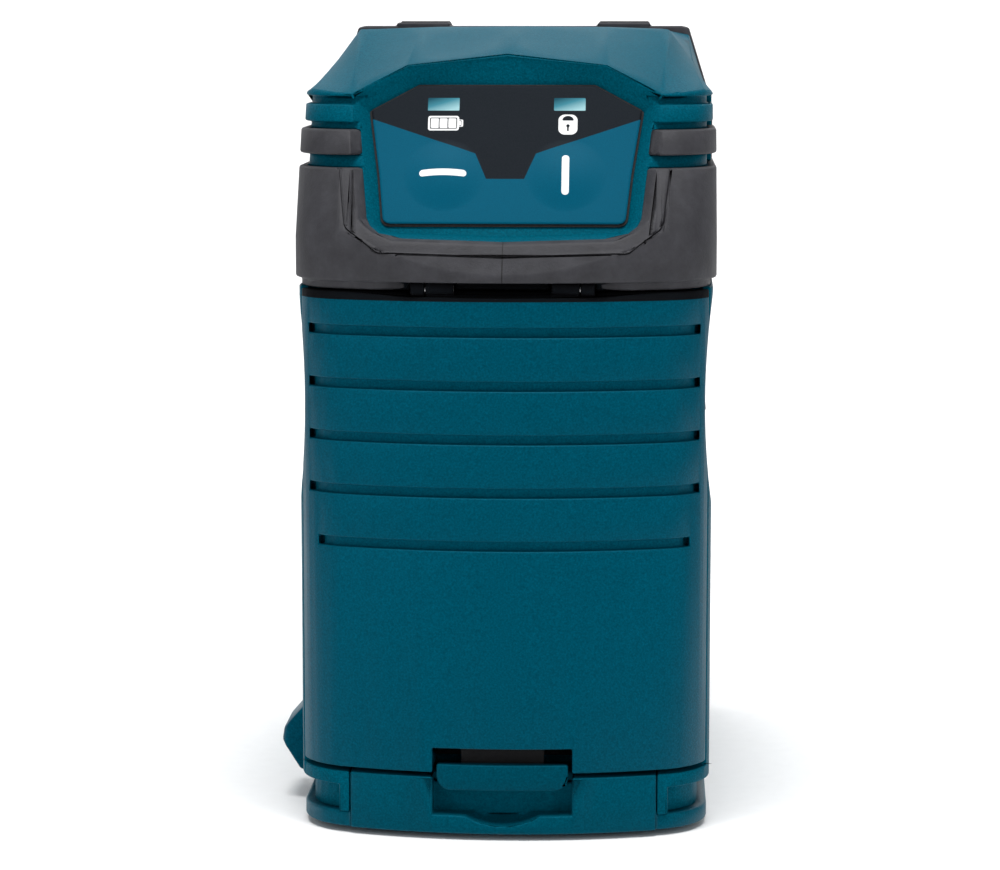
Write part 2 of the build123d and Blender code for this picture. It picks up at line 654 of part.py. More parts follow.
# ---------------------------------------------------------------- battery door and its latch
with BuildPart() as battery_door:
    add(BODY)
    add(slab(DOOR_BOTTOM, DOOR_TOP, y_to=DOOR_PLANE), mode=Mode.INTERSECT)
    hollow = envelope(DOOR_WALL) & slab(
        DOOR_BOTTOM + DOOR_WALL,
        DOOR_TOP - DOOR_WALL,
        x_from=DOOR_WALL - DOOR_HALF,
        x_to=DOOR_HALF - DOOR_WALL,
    )
    add(hollow, mode=Mode.SUBTRACT)
    # grip grooves, deeper at their ends; the lowest one is a little shorter
    for row in range(DOOR_GROOVES):
        middle = DOOR_TOP - DOOR_GROOVE_FIRST - row * DOOR_GROOVE_PITCH
        low = middle - DOOR_GROOVE_HEIGHT / 2
        half = DOOR_GROOVE_HALF - (LAST_GROOVE_SHORT if row == DOOR_GROOVES - 1 else 0)
        band = slab(low, low + DOOR_GROOVE_HEIGHT, x_from=-half, x_to=half)
        ends = band - slab(0, BIG, x_from=DOOR_NOTCH - half, x_to=half - DOOR_NOTCH)
        add(band - envelope(DOOR_GROOVE_DEEP), mode=Mode.SUBTRACT)
        add(ends - envelope(DOOR_NOTCH_DEEP), mode=Mode.SUBTRACT)
    # top edge bevelled so that it swings under the belt
    with BuildSketch(Plane.YZ):
        with BuildLine():
            Polyline(
                (-BIG, DOOR_TOP - DOOR_BEVEL_DROP),
                (REAR, DOOR_TOP - DOOR_BEVEL_DROP),
                (HINGE_Y + DOOR_BEVEL, DOOR_TOP),
                (HINGE_Y + DOOR_BEVEL, BIG),
                (-BIG, BIG),
                close=True,
            )
        make_face()
    extrude(amount=BIG, both=True, mode=Mode.SUBTRACT)
    # notch for the latch tab and rails for its stem
    add(slab(0, LATCH_TOP, x_from=-LATCH_HALF, x_to=LATCH_HALF), mode=Mode.SUBTRACT)
    rail_back = STEM_Y + STEM_THICK + GAP
    for x in (-1, 1):
        near = STEM_HALF + GAP
        web = sorted((x * near, x * (near + STEM_RAIL)))
        hook = sorted((x * (near - STEM_RAIL), x * (near + STEM_RAIL)))
        add(slab(LATCH_TOP, STEM_TOP, REAR + DOOR_WALL / 2, rail_back + 0.8, *web))
        add(slab(LATCH_TOP, STEM_TOP, rail_back, rail_back + 0.8, *hook))
    stop_low = STEM_TOP + LATCH_TRAVEL + DOOR_GAP + SPRING_LENGTH
    add(slab(stop_low, stop_low + 1.2, REAR + DOOR_WALL / 2, rail_back, -2.5, 2.5))
    # hinge knuckles, and notches round the casing's lugs
    for x in (-1, 1):
        knuckle_from = x * (HINGE_X - HINGE_LENGTH / 2)
        knuckle_to = x * (HINGE_X + HINGE_LENGTH / 2)
        knuckle_x = sorted((knuckle_from, knuckle_to))
        add(tube(HINGE_R, (knuckle_from, HINGE_Y, HINGE_Z), (knuckle_to, HINGE_Y, HINGE_Z)))
        add(slab(DOOR_TOP - DOOR_WALL, HINGE_Z, HINGE_Y - 0.5, HINGE_Y + HINGE_R, *knuckle_x))
        bore_end = knuckle_to + x * GAP
        add(tube(HINGE_PIN_R + RUN, (0, HINGE_Y, HINGE_Z), (bore_end, HINGE_Y, HINGE_Z)), mode=Mode.SUBTRACT)
        lug_to = knuckle_to + x * (HINGE_LUG + 2 * GAP)
        notch = tube(HINGE_R + DOOR_GAP, (knuckle_to, HINGE_Y, HINGE_Z), (lug_to, HINGE_Y, HINGE_Z))
        add(notch, mode=Mode.SUBTRACT)
finish(battery_door, "battery_door")

with BuildPart() as door_latch:
    add(ring_shell(envelope(0.2), envelope(0.2 + TAB_THICK), slab(TAB_LOW, TAB_HIGH, y_to=0)))
    with BuildSketch(Plane.XZ) as tab_face:
        with BuildLine():
            half = LATCH_HALF - TAB_SIDE
            Polyline((-half, TAB_HIGH), (-half, TAB_LOW), (half, TAB_LOW), (half, TAB_HIGH), close=True)
        make_face()
        fillet(tab_face.vertices().group_by(Axis.Y)[0], TAB_CORNER_R)
    extrude(amount=BIG, mode=Mode.INTERSECT)
    add(slab(0, BIG, y_from=STEM_Y), mode=Mode.SUBTRACT)
finish(door_latch, "door_latch")

with BuildPart() as latch_stem:
    add(slab(TAB_LOW + 1.0, STEM_TOP, STEM_Y, STEM_Y + STEM_THICK, -STEM_HALF, STEM_HALF))
finish(latch_stem, "latch_stem")

with BuildPart() as latch_spring:
    spring_low = STEM_TOP + LATCH_TRAVEL + DOOR_GAP
    with BuildSketch(Plane.XY.offset(spring_low)):
        with Locations((0, STEM_Y + STEM_THICK - SPRING_R)):
            Circle(SPRING_R)
            Circle(SPRING_R - 0.3, mode=Mode.SUBTRACT)
    extrude(amount=SPRING_LENGTH)
finish(latch_spring, "latch_spring")

with BuildPart() as hinge_pins:
    for x in (-1, 1):
        pin_from = x * (HINGE_X - HINGE_LENGTH / 2)
        pin_to = x * (HINGE_X + HINGE_LENGTH / 2 + GAP + HINGE_LUG)
        add(tube(HINGE_PIN_R, (pin_from, HINGE_Y, HINGE_Z), (pin_to, HINGE_Y, HINGE_Z)))
finish(hinge_pins, "hinge_pins")

with BuildPart() as door_seal:
    with BuildSketch(Plane.XZ.offset(-LEDGE_Y)):
        seal_low = DOOR_BOTTOM + SEAL_INSET
        seal_high = DOOR_TOP - SEAL_INSET
        seal_half = DOOR_HALF - SEAL_INSET
        with Locations((0, (seal_low + seal_high) / 2)):
            RectangleRounded(2 * seal_half, seal_high - seal_low, 3.0)
            inner = (2 * (seal_half - SEAL_WIDTH), seal_high - seal_low - 2 * SEAL_WIDTH)
            RectangleRounded(*inner, 2.0, mode=Mode.SUBTRACT)
    extrude(amount=SEAL_THICK)
finish(door_seal, "door_seal")

# ---------------------------------------------------------------- battery
CELL_X = (-CELL_PITCH, 0.0, CELL_PITCH)
CELL_LOW = BAY_LOW + SPRING_ROOM
for number, x in enumerate(CELL_X, start=1):
    with BuildPart() as cell:
        with BuildSketch(Plane.XY.offset(CELL_LOW)):
            with Locations((x, CELL_Y)):
                Circle(CELL_R)
        extrude(amount=CELL_LENGTH - CELL_NUB)
        fillet(cell.edges().filter_by(GeomType.CIRCLE), 0.6)
        with BuildSketch(Plane.XY.offset(CELL_LOW + CELL_LENGTH - CELL_NUB)):
            with Locations((x, CELL_Y)):
                Circle(CELL_NUB_R)
        extrude(amount=CELL_NUB)
    finish(cell, f"battery_cell_{number}")

with BuildPart() as contact_springs:
    for x in CELL_X:
        with BuildSketch(Plane.XY.offset(BAY_LOW)):
            with Locations((x, CELL_Y)):
                Circle(CELL_R - 2.2)
        extrude(amount=CONTACT_THICK)
        with BuildSketch(Plane.XY.offset(BAY_LOW + CONTACT_THICK)):
            with Locations((x, CELL_Y)):
                Circle(CELL_R - 2.5)
        with BuildSketch(Plane.XY.offset(CELL_LOW)):
            with Locations((x, CELL_Y)):
                Circle(2.2)
        loft()
finish(contact_springs, "contact_springs")

with BuildPart() as contact_plates:
    for x in CELL_X:
        with BuildSketch(Plane.XY.offset(BAY_HIGH - CONTACT_THICK)):
            with Locations((x, CELL_Y)):
                RectangleRounded(CELL_PITCH - 4, CELL_PITCH - 5, 1.0)
        extrude(amount=CONTACT_THICK)
finish(contact_plates, "contact_plates")

# ---------------------------------------------------------------- base
FEET = [
    (-FOOT_REAR_X, REAR + 7.0),
    (FOOT_REAR_X, REAR + 7.0),
    (-FOOT_FRONT_X, FRONT - TOE_BACK - 8.0),
    (FOOT_FRONT_X, FRONT - TOE_BACK - 8.0),
]
BASE_SCREWS = [(x, y) for x in (-SCREW_X, SCREW_X) for y in (BASE_SCREW_REAR_Y, BASE_SCREW_FRONT_Y)]
MAGNETS = [(x, PIVOT_Y + y) for x in (-MAGNET_X, MAGNET_X) for y in (-MAGNET_Y, MAGNET_Y)]


def post(radius, low, high, x=0.0, y=0.0):
    """An upright round bar."""
    return tube(radius, (x, y, low), (x, y, high))


with BuildPart() as base_plate:
    add(envelope(0.4))
    add(slab(0, PLATE_TOP), mode=Mode.INTERSECT)
    upstand_high = DOOR_BOTTOM - DOOR_GAP - DOOR_DROP
    upstand_half = UPSTAND_HALF - GAP
    add(BODY & slab(FOOT_HEIGHT + 0.4, upstand_high, -BIG, LEDGE_Y - GAP, -upstand_half, upstand_half))
    # the latch's recess, with a scoop for a fingertip under the tab
    recess_y = REAR + SCOOP_DEEP + 1.2
    add(slab(SCOOP_LOW, BIG, -BIG, recess_y, -LATCH_HALF, LATCH_HALF), mode=Mode.SUBTRACT)
    with Locations((0, REAR, SCOOP_LOW - SCOOP_DISH + SCOOP_R)):
        Sphere(SCOOP_R, mode=Mode.SUBTRACT)
    keeper_y = STEM_Y + STEM_THICK + DOOR_GAP
    add(slab(SCOOP_LOW - 0.5, TAB_LOW + 0.6, keeper_y, LEDGE_Y - GAP, -LATCH_HALF - 0.5, LATCH_HALF + 0.5))
    add(post(INSERT_R + BOSS_WALL, PLATE_TOP, TRIPOD_LENGTH))
    add(post(PLUNGER_R + BOSS_WALL, PLATE_TOP, GUIDE_HIGH, 0, PIVOT_Y))
    for x, y in MAGNETS:
        reach = MAGNET_HALF
        add(slab(PLATE_TOP, MAGNET_TOP - MAGNET_HEIGHT, y - reach, y + reach, x - reach, x + reach))
    add(post(INSERT_FLANGE_R + GAP, 0, INSERT_FLANGE + GAP), mode=Mode.SUBTRACT)
    add(post(INSERT_R, 0, BIG), mode=Mode.SUBTRACT)
    add(post(PLUNGER_R + 2 * RUN, PLATE_TOP - 1, BIG, 0, PIVOT_Y), mode=Mode.SUBTRACT)
    for x, y in FEET:
        add(post(FOOT_R, 0, FOOT_HEIGHT + 1.2, x, y), mode=Mode.SUBTRACT)
    for x, y in BASE_SCREWS:
        add(post(SCREW_R + GAP, 0, BIG, x, y), mode=Mode.SUBTRACT)
        add(post(SCREW_HEAD_R + GAP, 0, FOOT_HEIGHT + SCREW_HEAD + GAP, x, y), mode=Mode.SUBTRACT)
finish(base_plate, "base_plate")

with BuildPart() as base_feet:
    for x, y in FEET:
        add(post(FOOT_R, 0, FOOT_HEIGHT + 1.2, x, y))
finish(base_feet, "base_feet")

with BuildPart() as tripod_insert:
    add(post(INSERT_FLANGE_R, 0, INSERT_FLANGE))
    add(post(INSERT_R, 0, TRIPOD_LENGTH))
    add(post(TRIPOD_R, 0, TRIPOD_LENGTH), mode=Mode.SUBTRACT)
finish(tripod_insert, "tripod_insert")


def screw(head_at, towards, length, shank_r=SCREW_R, head_r=SCREW_HEAD_R, head=SCREW_HEAD):
    """A plain pan-head screw; head_at is where the head's underside sits."""
    way = Vector(*towards).normalized()
    base = Vector(*head_at)
    shank = tube(shank_r, tuple(base), tuple(base + way * length))
    cap = tube(head_r, tuple(base - way * head), tuple(base))
    return shank + cap


with BuildPart() as base_screws:
    for x, y in BASE_SCREWS:
        head_z = FOOT_HEIGHT + SCREW_HEAD + GAP
        add(screw((x, y, head_z), (0, 0, 1), BASE_SCREW_LENGTH - 2 * GAP))
finish(base_screws, "base_screws")

# ---------------------------------------------------------------- front casing, bezel and window


def bent_strip(outer, inner, low, high, half):
    """A plate that follows the front and the brow, between two depths under the surface."""
    with BuildPart() as strip:
        with BuildSketch(Plane.YZ):
            add(side_outline())
            if outer:
                offset(amount=-outer, kind=Kind.INTERSECTION)
        extrude(amount=half, both=True)
        with BuildSketch(Plane.YZ):
            add(side_outline())
            offset(amount=-inner, kind=Kind.INTERSECTION)
        extrude(amount=BIG, both=True, mode=Mode.SUBTRACT)
        add(slab(low, high, y_from=0), mode=Mode.INTERSECT)
    return strip.part


WINDOW_HIGH = BODY_HEIGHT - 3.5
SEAT_DEEP = WINDOW_SINK + WINDOW_THICK + GASKET
BEZEL_LINE = [
    (FRONT - BUMPER_BACK, BIG),
    (FRONT - BUMPER_BACK, BODY_HEIGHT - 10),
    (FRONT - BUMPER_BACK + BUMPER_LEAN, BUMPER_LOW),
    (BIG, BUMPER_LOW),
    (BIG, BIG),
]
with BuildPart() as bezel_zone:
    with BuildSketch(Plane.YZ):
        with BuildLine():
            Polyline(*BEZEL_LINE, close=True)
        make_face()
    extrude(amount=BIG, both=True)
    add(bent_strip(-5, SEAT_DEEP, WINDOW_LOW - 1, WINDOW_HIGH + 1, WINDOW_HALF + 1), mode=Mode.SUBTRACT)

with BuildPart() as front_bumper:
    add(ring_shell(OUTSIDE, RUBBER_IN, bezel_zone.part))
    add(slab(BODY_HEIGHT + PAD_RISE, BIG), mode=Mode.SUBTRACT)
    add(slab(BODY_HEIGHT + 0.05, BIG, x_from=-PAD_INNER, x_to=PAD_INNER), mode=Mode.SUBTRACT)
    add(slab(BODY_HEIGHT + 0.05, BIG, x_from=PAD_OUTER), mode=Mode.SUBTRACT)
    add(slab(BODY_HEIGHT + 0.05, BIG, x_to=-PAD_OUTER), mode=Mode.SUBTRACT)
finish(front_bumper, "front_bumper")

with BuildPart() as laser_window:
    glass_half = WINDOW_HALF - GAP
    add(bent_strip(WINDOW_SINK, WINDOW_SINK + WINDOW_THICK, WINDOW_LOW + GAP, WINDOW_HIGH - GAP, glass_half))
finish(laser_window, "laser_window")

LIGHT_WAY = bent_strip(
    0, SEAT_DEEP + 5, WINDOW_LOW + WINDOW_SEAT, WINDOW_HIGH - WINDOW_SEAT, WINDOW_HALF - WINDOW_SEAT
)
with BuildPart() as window_gasket:
    add(bent_strip(WINDOW_SINK + WINDOW_THICK, SEAT_DEEP, WINDOW_LOW + GAP, WINDOW_HIGH - GAP, glass_half))
    add(LIGHT_WAY, mode=Mode.SUBTRACT)
finish(window_gasket, "window_gasket")

ROOF_POSTS = [(-11.0, PIVOT_Y), (11.0, PIVOT_Y)]
CARRIER_HIGH = PIVOT_Z + CARRIER_RISE
CARRIER_LOW = CARRIER_HIGH - CARRIER_TOP
with BuildPart() as front_cavity:
    add(INNER)
    add(slab(0, BIG, y_from=SPLIT_Y), mode=Mode.INTERSECT)
    frame_half = WINDOW_HALF + 1.5
    add(bent_strip(0, SEAT_DEEP + 1.4, WINDOW_LOW - 1.5, WINDOW_HIGH + 1.5, frame_half), mode=Mode.SUBTRACT)
    add(RAIL_BACKER, mode=Mode.SUBTRACT)

with BuildPart() as front_casing:
    add(BODY)
    add(slab(PLATE_TOP, BIG, y_from=SPLIT_Y), mode=Mode.INTERSECT)
    add(front_cavity.part, mode=Mode.SUBTRACT)
    add(ring_shell(OUTSIDE, RUBBER_IN, bezel_zone.part), mode=Mode.SUBTRACT)
    add(bent_strip(-5, SEAT_DEEP, WINDOW_LOW, WINDOW_HIGH, WINDOW_HALF), mode=Mode.SUBTRACT)
    add(LIGHT_WAY, mode=Mode.SUBTRACT)
    # tubes for the casing screws, which enter from under the bezel, and other bosses
    for x, z in CASE_SCREWS:
        add(tube(SCREW_BOSS_R, (x, SPLIT_Y, z), (x, FRONT - TOE_BACK - 8, z)))
    for x in (-SCREW_X, SCREW_X):
        add(post(SCREW_BOSS_R, PLATE_TOP, CASE_SCREW_LOW, x, BASE_SCREW_FRONT_Y))
    add(RAIL, mode=Mode.SUBTRACT)
    for x, y in ROOF_POSTS:
        add(post(SCREW_BOSS_R, CARRIER_HIGH, BODY_HEIGHT - WALL + 0.5, x, y))
    for x, z in CASE_SCREWS:
        add(tube(SCREW_R + GAP, (x, SPLIT_Y - 1, z), (x, FRONT, z)), mode=Mode.SUBTRACT)
        bore_from = SPLIT_Y + WALL
        add(tube(SCREW_HEAD_R + GAP, (x, bore_from, z), (x, FRONT + 5, z)), mode=Mode.SUBTRACT)
    for x in (-SCREW_X, SCREW_X):
        add(post(SCREW_R, 0, BASE_SCREW_END, x, BASE_SCREW_FRONT_Y), mode=Mode.SUBTRACT)
    for x, y in ROOF_POSTS:
        add(post(SCREW_R, CARRIER_HIGH - 1, CARRIER_HIGH + 6, x, y), mode=Mode.SUBTRACT)
finish(front_casing, "front_casing")

with BuildPart() as casing_screws:
    for x, z in CASE_SCREWS:
        length = CASE_SCREW_LENGTH - 2 + WALL
        add(screw((x, SPLIT_Y + WALL, z), (0, -1, 0), length - GAP))
finish(casing_screws, "casing_screws")

# ---------------------------------------------------------------- control panel


def keypad_outline():
    """The overlay's outline on the panel's floor."""
    inner = [(x, v) for x, v in PANEL if v > KEYPAD_BASE and x > 0]
    corner = inner[0][0]
    right = [(0.0, KEYPAD_BASE), (corner, KEYPAD_BASE)] + inner[1:] + [(0.0, PANEL[-1][1])]
    with BuildSketch() as outline:
        with BuildLine():
            Polyline(*mirrored_points(right), close=True)
        make_face()
        offset(amount=-KEYPAD_GAP)
        fillet(outline.vertices().group_by(Axis.Y)[0], 1.0)
    return outline.sketch


def on_panel(sunk, x, up):
    """A point given across and up the leaning plane, at a depth under the leaning face."""
    return tuple(leaning_plane(sunk).from_local_coords(Vector(x, up, 0)))


BUTTON_X = (-BUTTON_HALF_PITCH, BUTTON_HALF_PITCH)
LED_X = (-LED_HALF_PITCH, LED_HALF_PITCH)
with BuildPart() as keypad_overlay:
    with BuildSketch(leaning_plane(PANEL_SUNK)):
        add(keypad_outline())
        for x in BUTTON_X:
            with Locations((x, BUTTON_UP)):
                Circle(BUTTON_R + 2 * RUN, mode=Mode.SUBTRACT)
        for x in LED_X:
            with Locations((x, LED_UP)):
                Rectangle(LED_WIDTH, LED_HEIGHT, mode=Mode.SUBTRACT)
    extrude(amount=KEYPAD_THICK)
finish(keypad_overlay, "keypad_overlay")

SWITCH_TOP = BOARD_SUNK - SWITCH_HEIGHT
for x, name in zip(BUTTON_X, ("horizontal_line_button", "vertical_line_button")):
    with BuildPart() as button:
        face = PANEL_SUNK - KEYPAD_THICK
        add(tube(BUTTON_R, on_panel(PANEL_SUNK + WALL + GAP, x, BUTTON_UP), on_panel(face, x, BUTTON_UP)))
        with BuildSketch(leaning_plane(face)):
            with Locations((x, BUTTON_UP)):
                Circle(BUTTON_R)
        with BuildSketch(leaning_plane(face - BUTTON_PROUD)):
            with Locations((x, BUTTON_UP)):
                Circle(BUTTON_R - 1.2)
        loft()
        rim_from = on_panel(PANEL_SUNK + WALL + GAP + BUTTON_RIM, x, BUTTON_UP)
        add(tube(BUTTON_R + 0.8, rim_from, on_panel(PANEL_SUNK + WALL + GAP, x, BUTTON_UP)))
        stem_end = SWITCH_TOP - BUTTON_TRAVEL - GAP
        add(tube(1.5, on_panel(stem_end, x, BUTTON_UP), rim_from))
    finish(button, name)

for x, name in zip(LED_X, ("battery_light_lens", "lock_light_lens")):
    with BuildPart() as lens:
        with BuildSketch(leaning_plane(BOARD_SUNK - 1.6)):
            with Locations((x, LED_UP)):
                Rectangle(LED_WIDTH, LED_HEIGHT)
        extrude(amount=BOARD_SUNK - 1.6 - PANEL_SUNK + KEYPAD_THICK - 0.1)
    finish(lens, name)

with BuildPart() as panel_leds:
    with BuildSketch(leaning_plane(BOARD_SUNK)):
        for x in LED_X:
            with Locations((x, LED_UP)):
                Rectangle(3.0, 1.6)
    extrude(amount=1.2)
finish(panel_leds, "panel_leds")

with BuildPart() as tact_switches:
    with BuildSketch(leaning_plane(BOARD_SUNK)):
        for x in BUTTON_X:
            with Locations((x, BUTTON_UP)):
                Rectangle(SWITCH_SIZE, SWITCH_SIZE)
    extrude(amount=SWITCH_HEIGHT)
finish(tact_switches, "tact_switches")

with BuildPart() as panel_board:
    board_low = KEYPAD_BASE + 0.5
    board_high = PANEL[-1][1] - 1.5
    with BuildSketch(leaning_plane(BOARD_SUNK + BOARD_THICK)):
        with Locations((0, (board_low + board_high) / 2)):
            RectangleRounded(2 * PANEL_BOARD_HALF, board_high - board_low, 1.5)
        for x, up in BOARD_POSTS:
            with Locations((x, up)):
                Circle(BOARD_SCREW_R + GAP, mode=Mode.SUBTRACT)
    extrude(amount=BOARD_THICK)
finish(panel_board, "panel_board")

with BuildPart() as panel_board_screws:
    for x, up in BOARD_POSTS:
        head_at = on_panel(BOARD_SUNK + BOARD_THICK, x, up)
        inward = (0, -cos(LEAN), sin(LEAN))
        add(screw(head_at, inward, BOARD_THICK + 2.5, BOARD_SCREW_R, BOARD_SCREW_HEAD_R, BOARD_SCREW_HEAD))
finish(panel_board_screws, "panel_board_screws")

# ---------------------------------------------------------------- main board
BOARD_Y = BAY_BACK + BAY_WALL + STANDOFF
BOARD_HOLES = [
    (x, z)
    for x in (-MAIN_BOARD_HALF + BOARD_HOLE_IN, MAIN_BOARD_HALF - BOARD_HOLE_IN)
    for z in (MAIN_BOARD_LOW + BOARD_HOLE_IN, MAIN_BOARD_HIGH - BOARD_HOLE_IN)
]
with BuildPart() as main_board:
    board_x = (-MAIN_BOARD_HALF, MAIN_BOARD_HALF)
    add(slab(MAIN_BOARD_LOW, MAIN_BOARD_HIGH, BOARD_Y, BOARD_Y + BOARD_THICK, *board_x))
    for x, z in BOARD_HOLES:
        add(tube(BOARD_SCREW_R + GAP, (x, BOARD_Y - 1, z), (x, BOARD_Y + 3, z)), mode=Mode.SUBTRACT)
finish(main_board, "main_board")

with BuildPart() as board_parts:
    chip_y = BOARD_Y + BOARD_THICK
    add(slab(38, 48, chip_y, chip_y + 1.2, -6, 4))
    add(slab(56, 60, chip_y, chip_y + 1.6, -10, -2))
    add(tube(2.5, (9, chip_y, 32), (9, chip_y + 5.5, 32)))
    add(slab(50, 62, chip_y, chip_y + 4.0, 6, 11))
finish(board_parts, "board_parts")

with BuildPart() as main_board_screws:
    for x, z in BOARD_HOLES:
        head_at = (x, BOARD_Y + BOARD_THICK, z)
        add(screw(head_at, (0, -1, 0), BOARD_THICK + STANDOFF + 0.8, BOARD_SCREW_R, BOARD_SCREW_HEAD_R, 1.0))
finish(main_board_screws, "main_board_screws")

# ---------------------------------------------------------------- lock slider and plunger
SLOPE = PLUNGER_LIFT / SLIDER_TRAVEL
ARM_LOW = SLOT_LOW + DOOR_GAP
WEDGE_BASE = ARM_LOW + ARM_HEIGHT
FOLLOW_HALF = 2.0
WEDGE_REAR = PIVOT_Y + FOLLOW_HALF - SLIDER_TRAVEL - 2 * FOLLOW_HALF - 0.5
WEDGE_FRONT = PIVOT_Y + FOLLOW_HALF + 0.5
PLUNGER_TOP = DAMPER_LOW - PLUNGER_LIFT - PLUNGER_AIR
CARRIAGE_X = -HALF + WALL + DOOR_GAP

with BuildPart() as lock_slider:
    # thumb piece: a bevelled block that tapers towards its ends
    with BuildSketch(Plane.XZ.offset(-SLIDER_Y)):
        with BuildLine():
            wall_x = -HALF - DOOR_GAP
            Polyline(
                (wall_x, SLIDER_HIGH),
                (-HALF - SLIDER_PROUD + 0.3, SLIDER_LOW + 6.5),
                (-HALF - SLIDER_PROUD, SLIDER_LOW + 4.5),
                (-HALF - 1.6, SLIDER_LOW),
                (wall_x, SLIDER_LOW),
                close=True,
            )
        make_face()
    extrude(amount=SLIDER_LENGTH / 2, both=True)
    chamfer(lock_slider.edges().filter_by(Axis.Z, tolerance=40).sort_by(Axis.X)[:2], 0.6)
    neck = SLIDER_NECK / 2
    neck_x = (wall_x - 0.5, CARRIAGE_X + CARRIAGE)
    add(slab(ARM_LOW, SLOT_HIGH - DOOR_GAP, SLIDER_Y - neck, SLIDER_Y + neck, *neck_x))
    half_length = SLIDER_LENGTH / 2
    carriage = (SLIDER_Y - half_length, SLIDER_Y + half_length, CARRIAGE_X, CARRIAGE_X + CARRIAGE)
    add(slab(ARM_LOW, SLOT_HIGH + 3, *carriage))
    # arm forward along the flank, across under the pendulum, and the wedge at its end
    arm_x = CARRIAGE_X + CARRIAGE
    add(slab(ARM_LOW, WEDGE_BASE, SLIDER_Y - half_length, WEDGE_FRONT, arm_x - 0.5, arm_x + ARM_THICK))
    add(slab(ARM_LOW, WEDGE_BASE, WEDGE_REAR, WEDGE_FRONT, arm_x, WEDGE_X + WEDGE_WIDTH / 2))
    with BuildSketch(Plane.YZ.offset(WEDGE_X - WEDGE_WIDTH / 2)):
        with BuildLine():
            Polyline(
                (WEDGE_REAR, ARM_LOW),
                (WEDGE_FRONT, ARM_LOW),
                (WEDGE_FRONT, WEDGE_BASE),
                (WEDGE_REAR, WEDGE_BASE + SLOPE * (WEDGE_FRONT - WEDGE_REAR)),
                close=True,
            )
        make_face()
    extrude(amount=WEDGE_WIDTH)
finish(lock_slider, "lock_slider")

with BuildPart() as lock_plunger:
    add(post(PLUNGER_R, PLUNGER_LOW, PLUNGER_TOP, 0, PIVOT_Y))
    with BuildSketch(Plane.YZ.offset(WEDGE_X - WEDGE_WIDTH / 2)):
        with BuildLine():
            follow_front = PIVOT_Y + FOLLOW_HALF
            follow_rear = PIVOT_Y - FOLLOW_HALF
            low_front = WEDGE_BASE + SLOPE * (WEDGE_FRONT - follow_front) + DOOR_GAP
            low_rear = WEDGE_BASE + SLOPE * (WEDGE_FRONT - follow_rear) + DOOR_GAP
            follow_top = PLUNGER_TOP - 1.5
            Polyline(
                (follow_rear, low_rear),
                (follow_front, low_front),
                (follow_front, follow_top),
                (follow_rear, follow_top),
                close=True,
            )
        make_face()
    extrude(amount=-WEDGE_X + WEDGE_WIDTH / 2)
finish(lock_plunger, "lock_plunger")

with BuildPart() as power_switch:
    switch_y = SLIDER_Y + half_length + SLIDER_TRAVEL + DOOR_GAP
    switch_x = CARRIAGE_X + CARRIAGE
    add(slab(SLOT_HIGH + 0.6, SLOT_HIGH + 5, switch_y, switch_y + 6, switch_x - 1.0, switch_x + 3))
finish(power_switch, "power_switch")

# ---------------------------------------------------------------- levelling mechanism
CHEEK_X = RING_HALF_X + CHEEK_GAP
with BuildPart() as gimbal_carrier:
    reach = BEARING_OUT_R + 2.0
    width = CHEEK_X + CHEEK
    add(slab(CARRIER_LOW, CARRIER_HIGH, PIVOT_Y - reach, PIVOT_Y + reach, -width, width))
    for x in (-1, 1):
        cheek_x = sorted((x * CHEEK_X, x * width))
        add(slab(PIVOT_Z - reach, CARRIER_HIGH, PIVOT_Y - reach, PIVOT_Y + reach, *cheek_x))
        through = (x * (CHEEK_X - 1), PIVOT_Y, PIVOT_Z)
        seat_end = (x * (CHEEK_X + BEARING_WIDTH), PIVOT_Y, PIVOT_Z)
        add(tube(BEARING_OUT_R, through, seat_end), mode=Mode.SUBTRACT)
    for x, y in ROOF_POSTS:
        add(post(SCREW_R + GAP, 0, BIG, x, y), mode=Mode.SUBTRACT)
finish(gimbal_carrier, "gimbal_carrier")

with BuildPart() as carrier_screws:
    for x, y in ROOF_POSTS:
        add(screw((x, y, CARRIER_LOW), (0, 0, 1), CARRIER_TOP + 5, SCREW_R, SCREW_HEAD_R, 1.2))
finish(carrier_screws, "carrier_screws")


def bearing_pair(ends):
    """Two small ball bearings, each drawn as its outer and inner rings with the balls' track."""
    with BuildPart() as pair:
        for start, end in ends:
            add(tube(BEARING_OUT_R, start, end))
            add(tube(BEARING_IN_R + RUN, start, end), mode=Mode.SUBTRACT)
    return pair.part


with BuildPart() as carrier_bearings:
    ends = []
    for x in (-1, 1):
        ends.append(((x * CHEEK_X, PIVOT_Y, PIVOT_Z), (x * (CHEEK_X + BEARING_WIDTH), PIVOT_Y, PIVOT_Z)))
    add(bearing_pair(ends))
finish(carrier_bearings, "carrier_bearings")

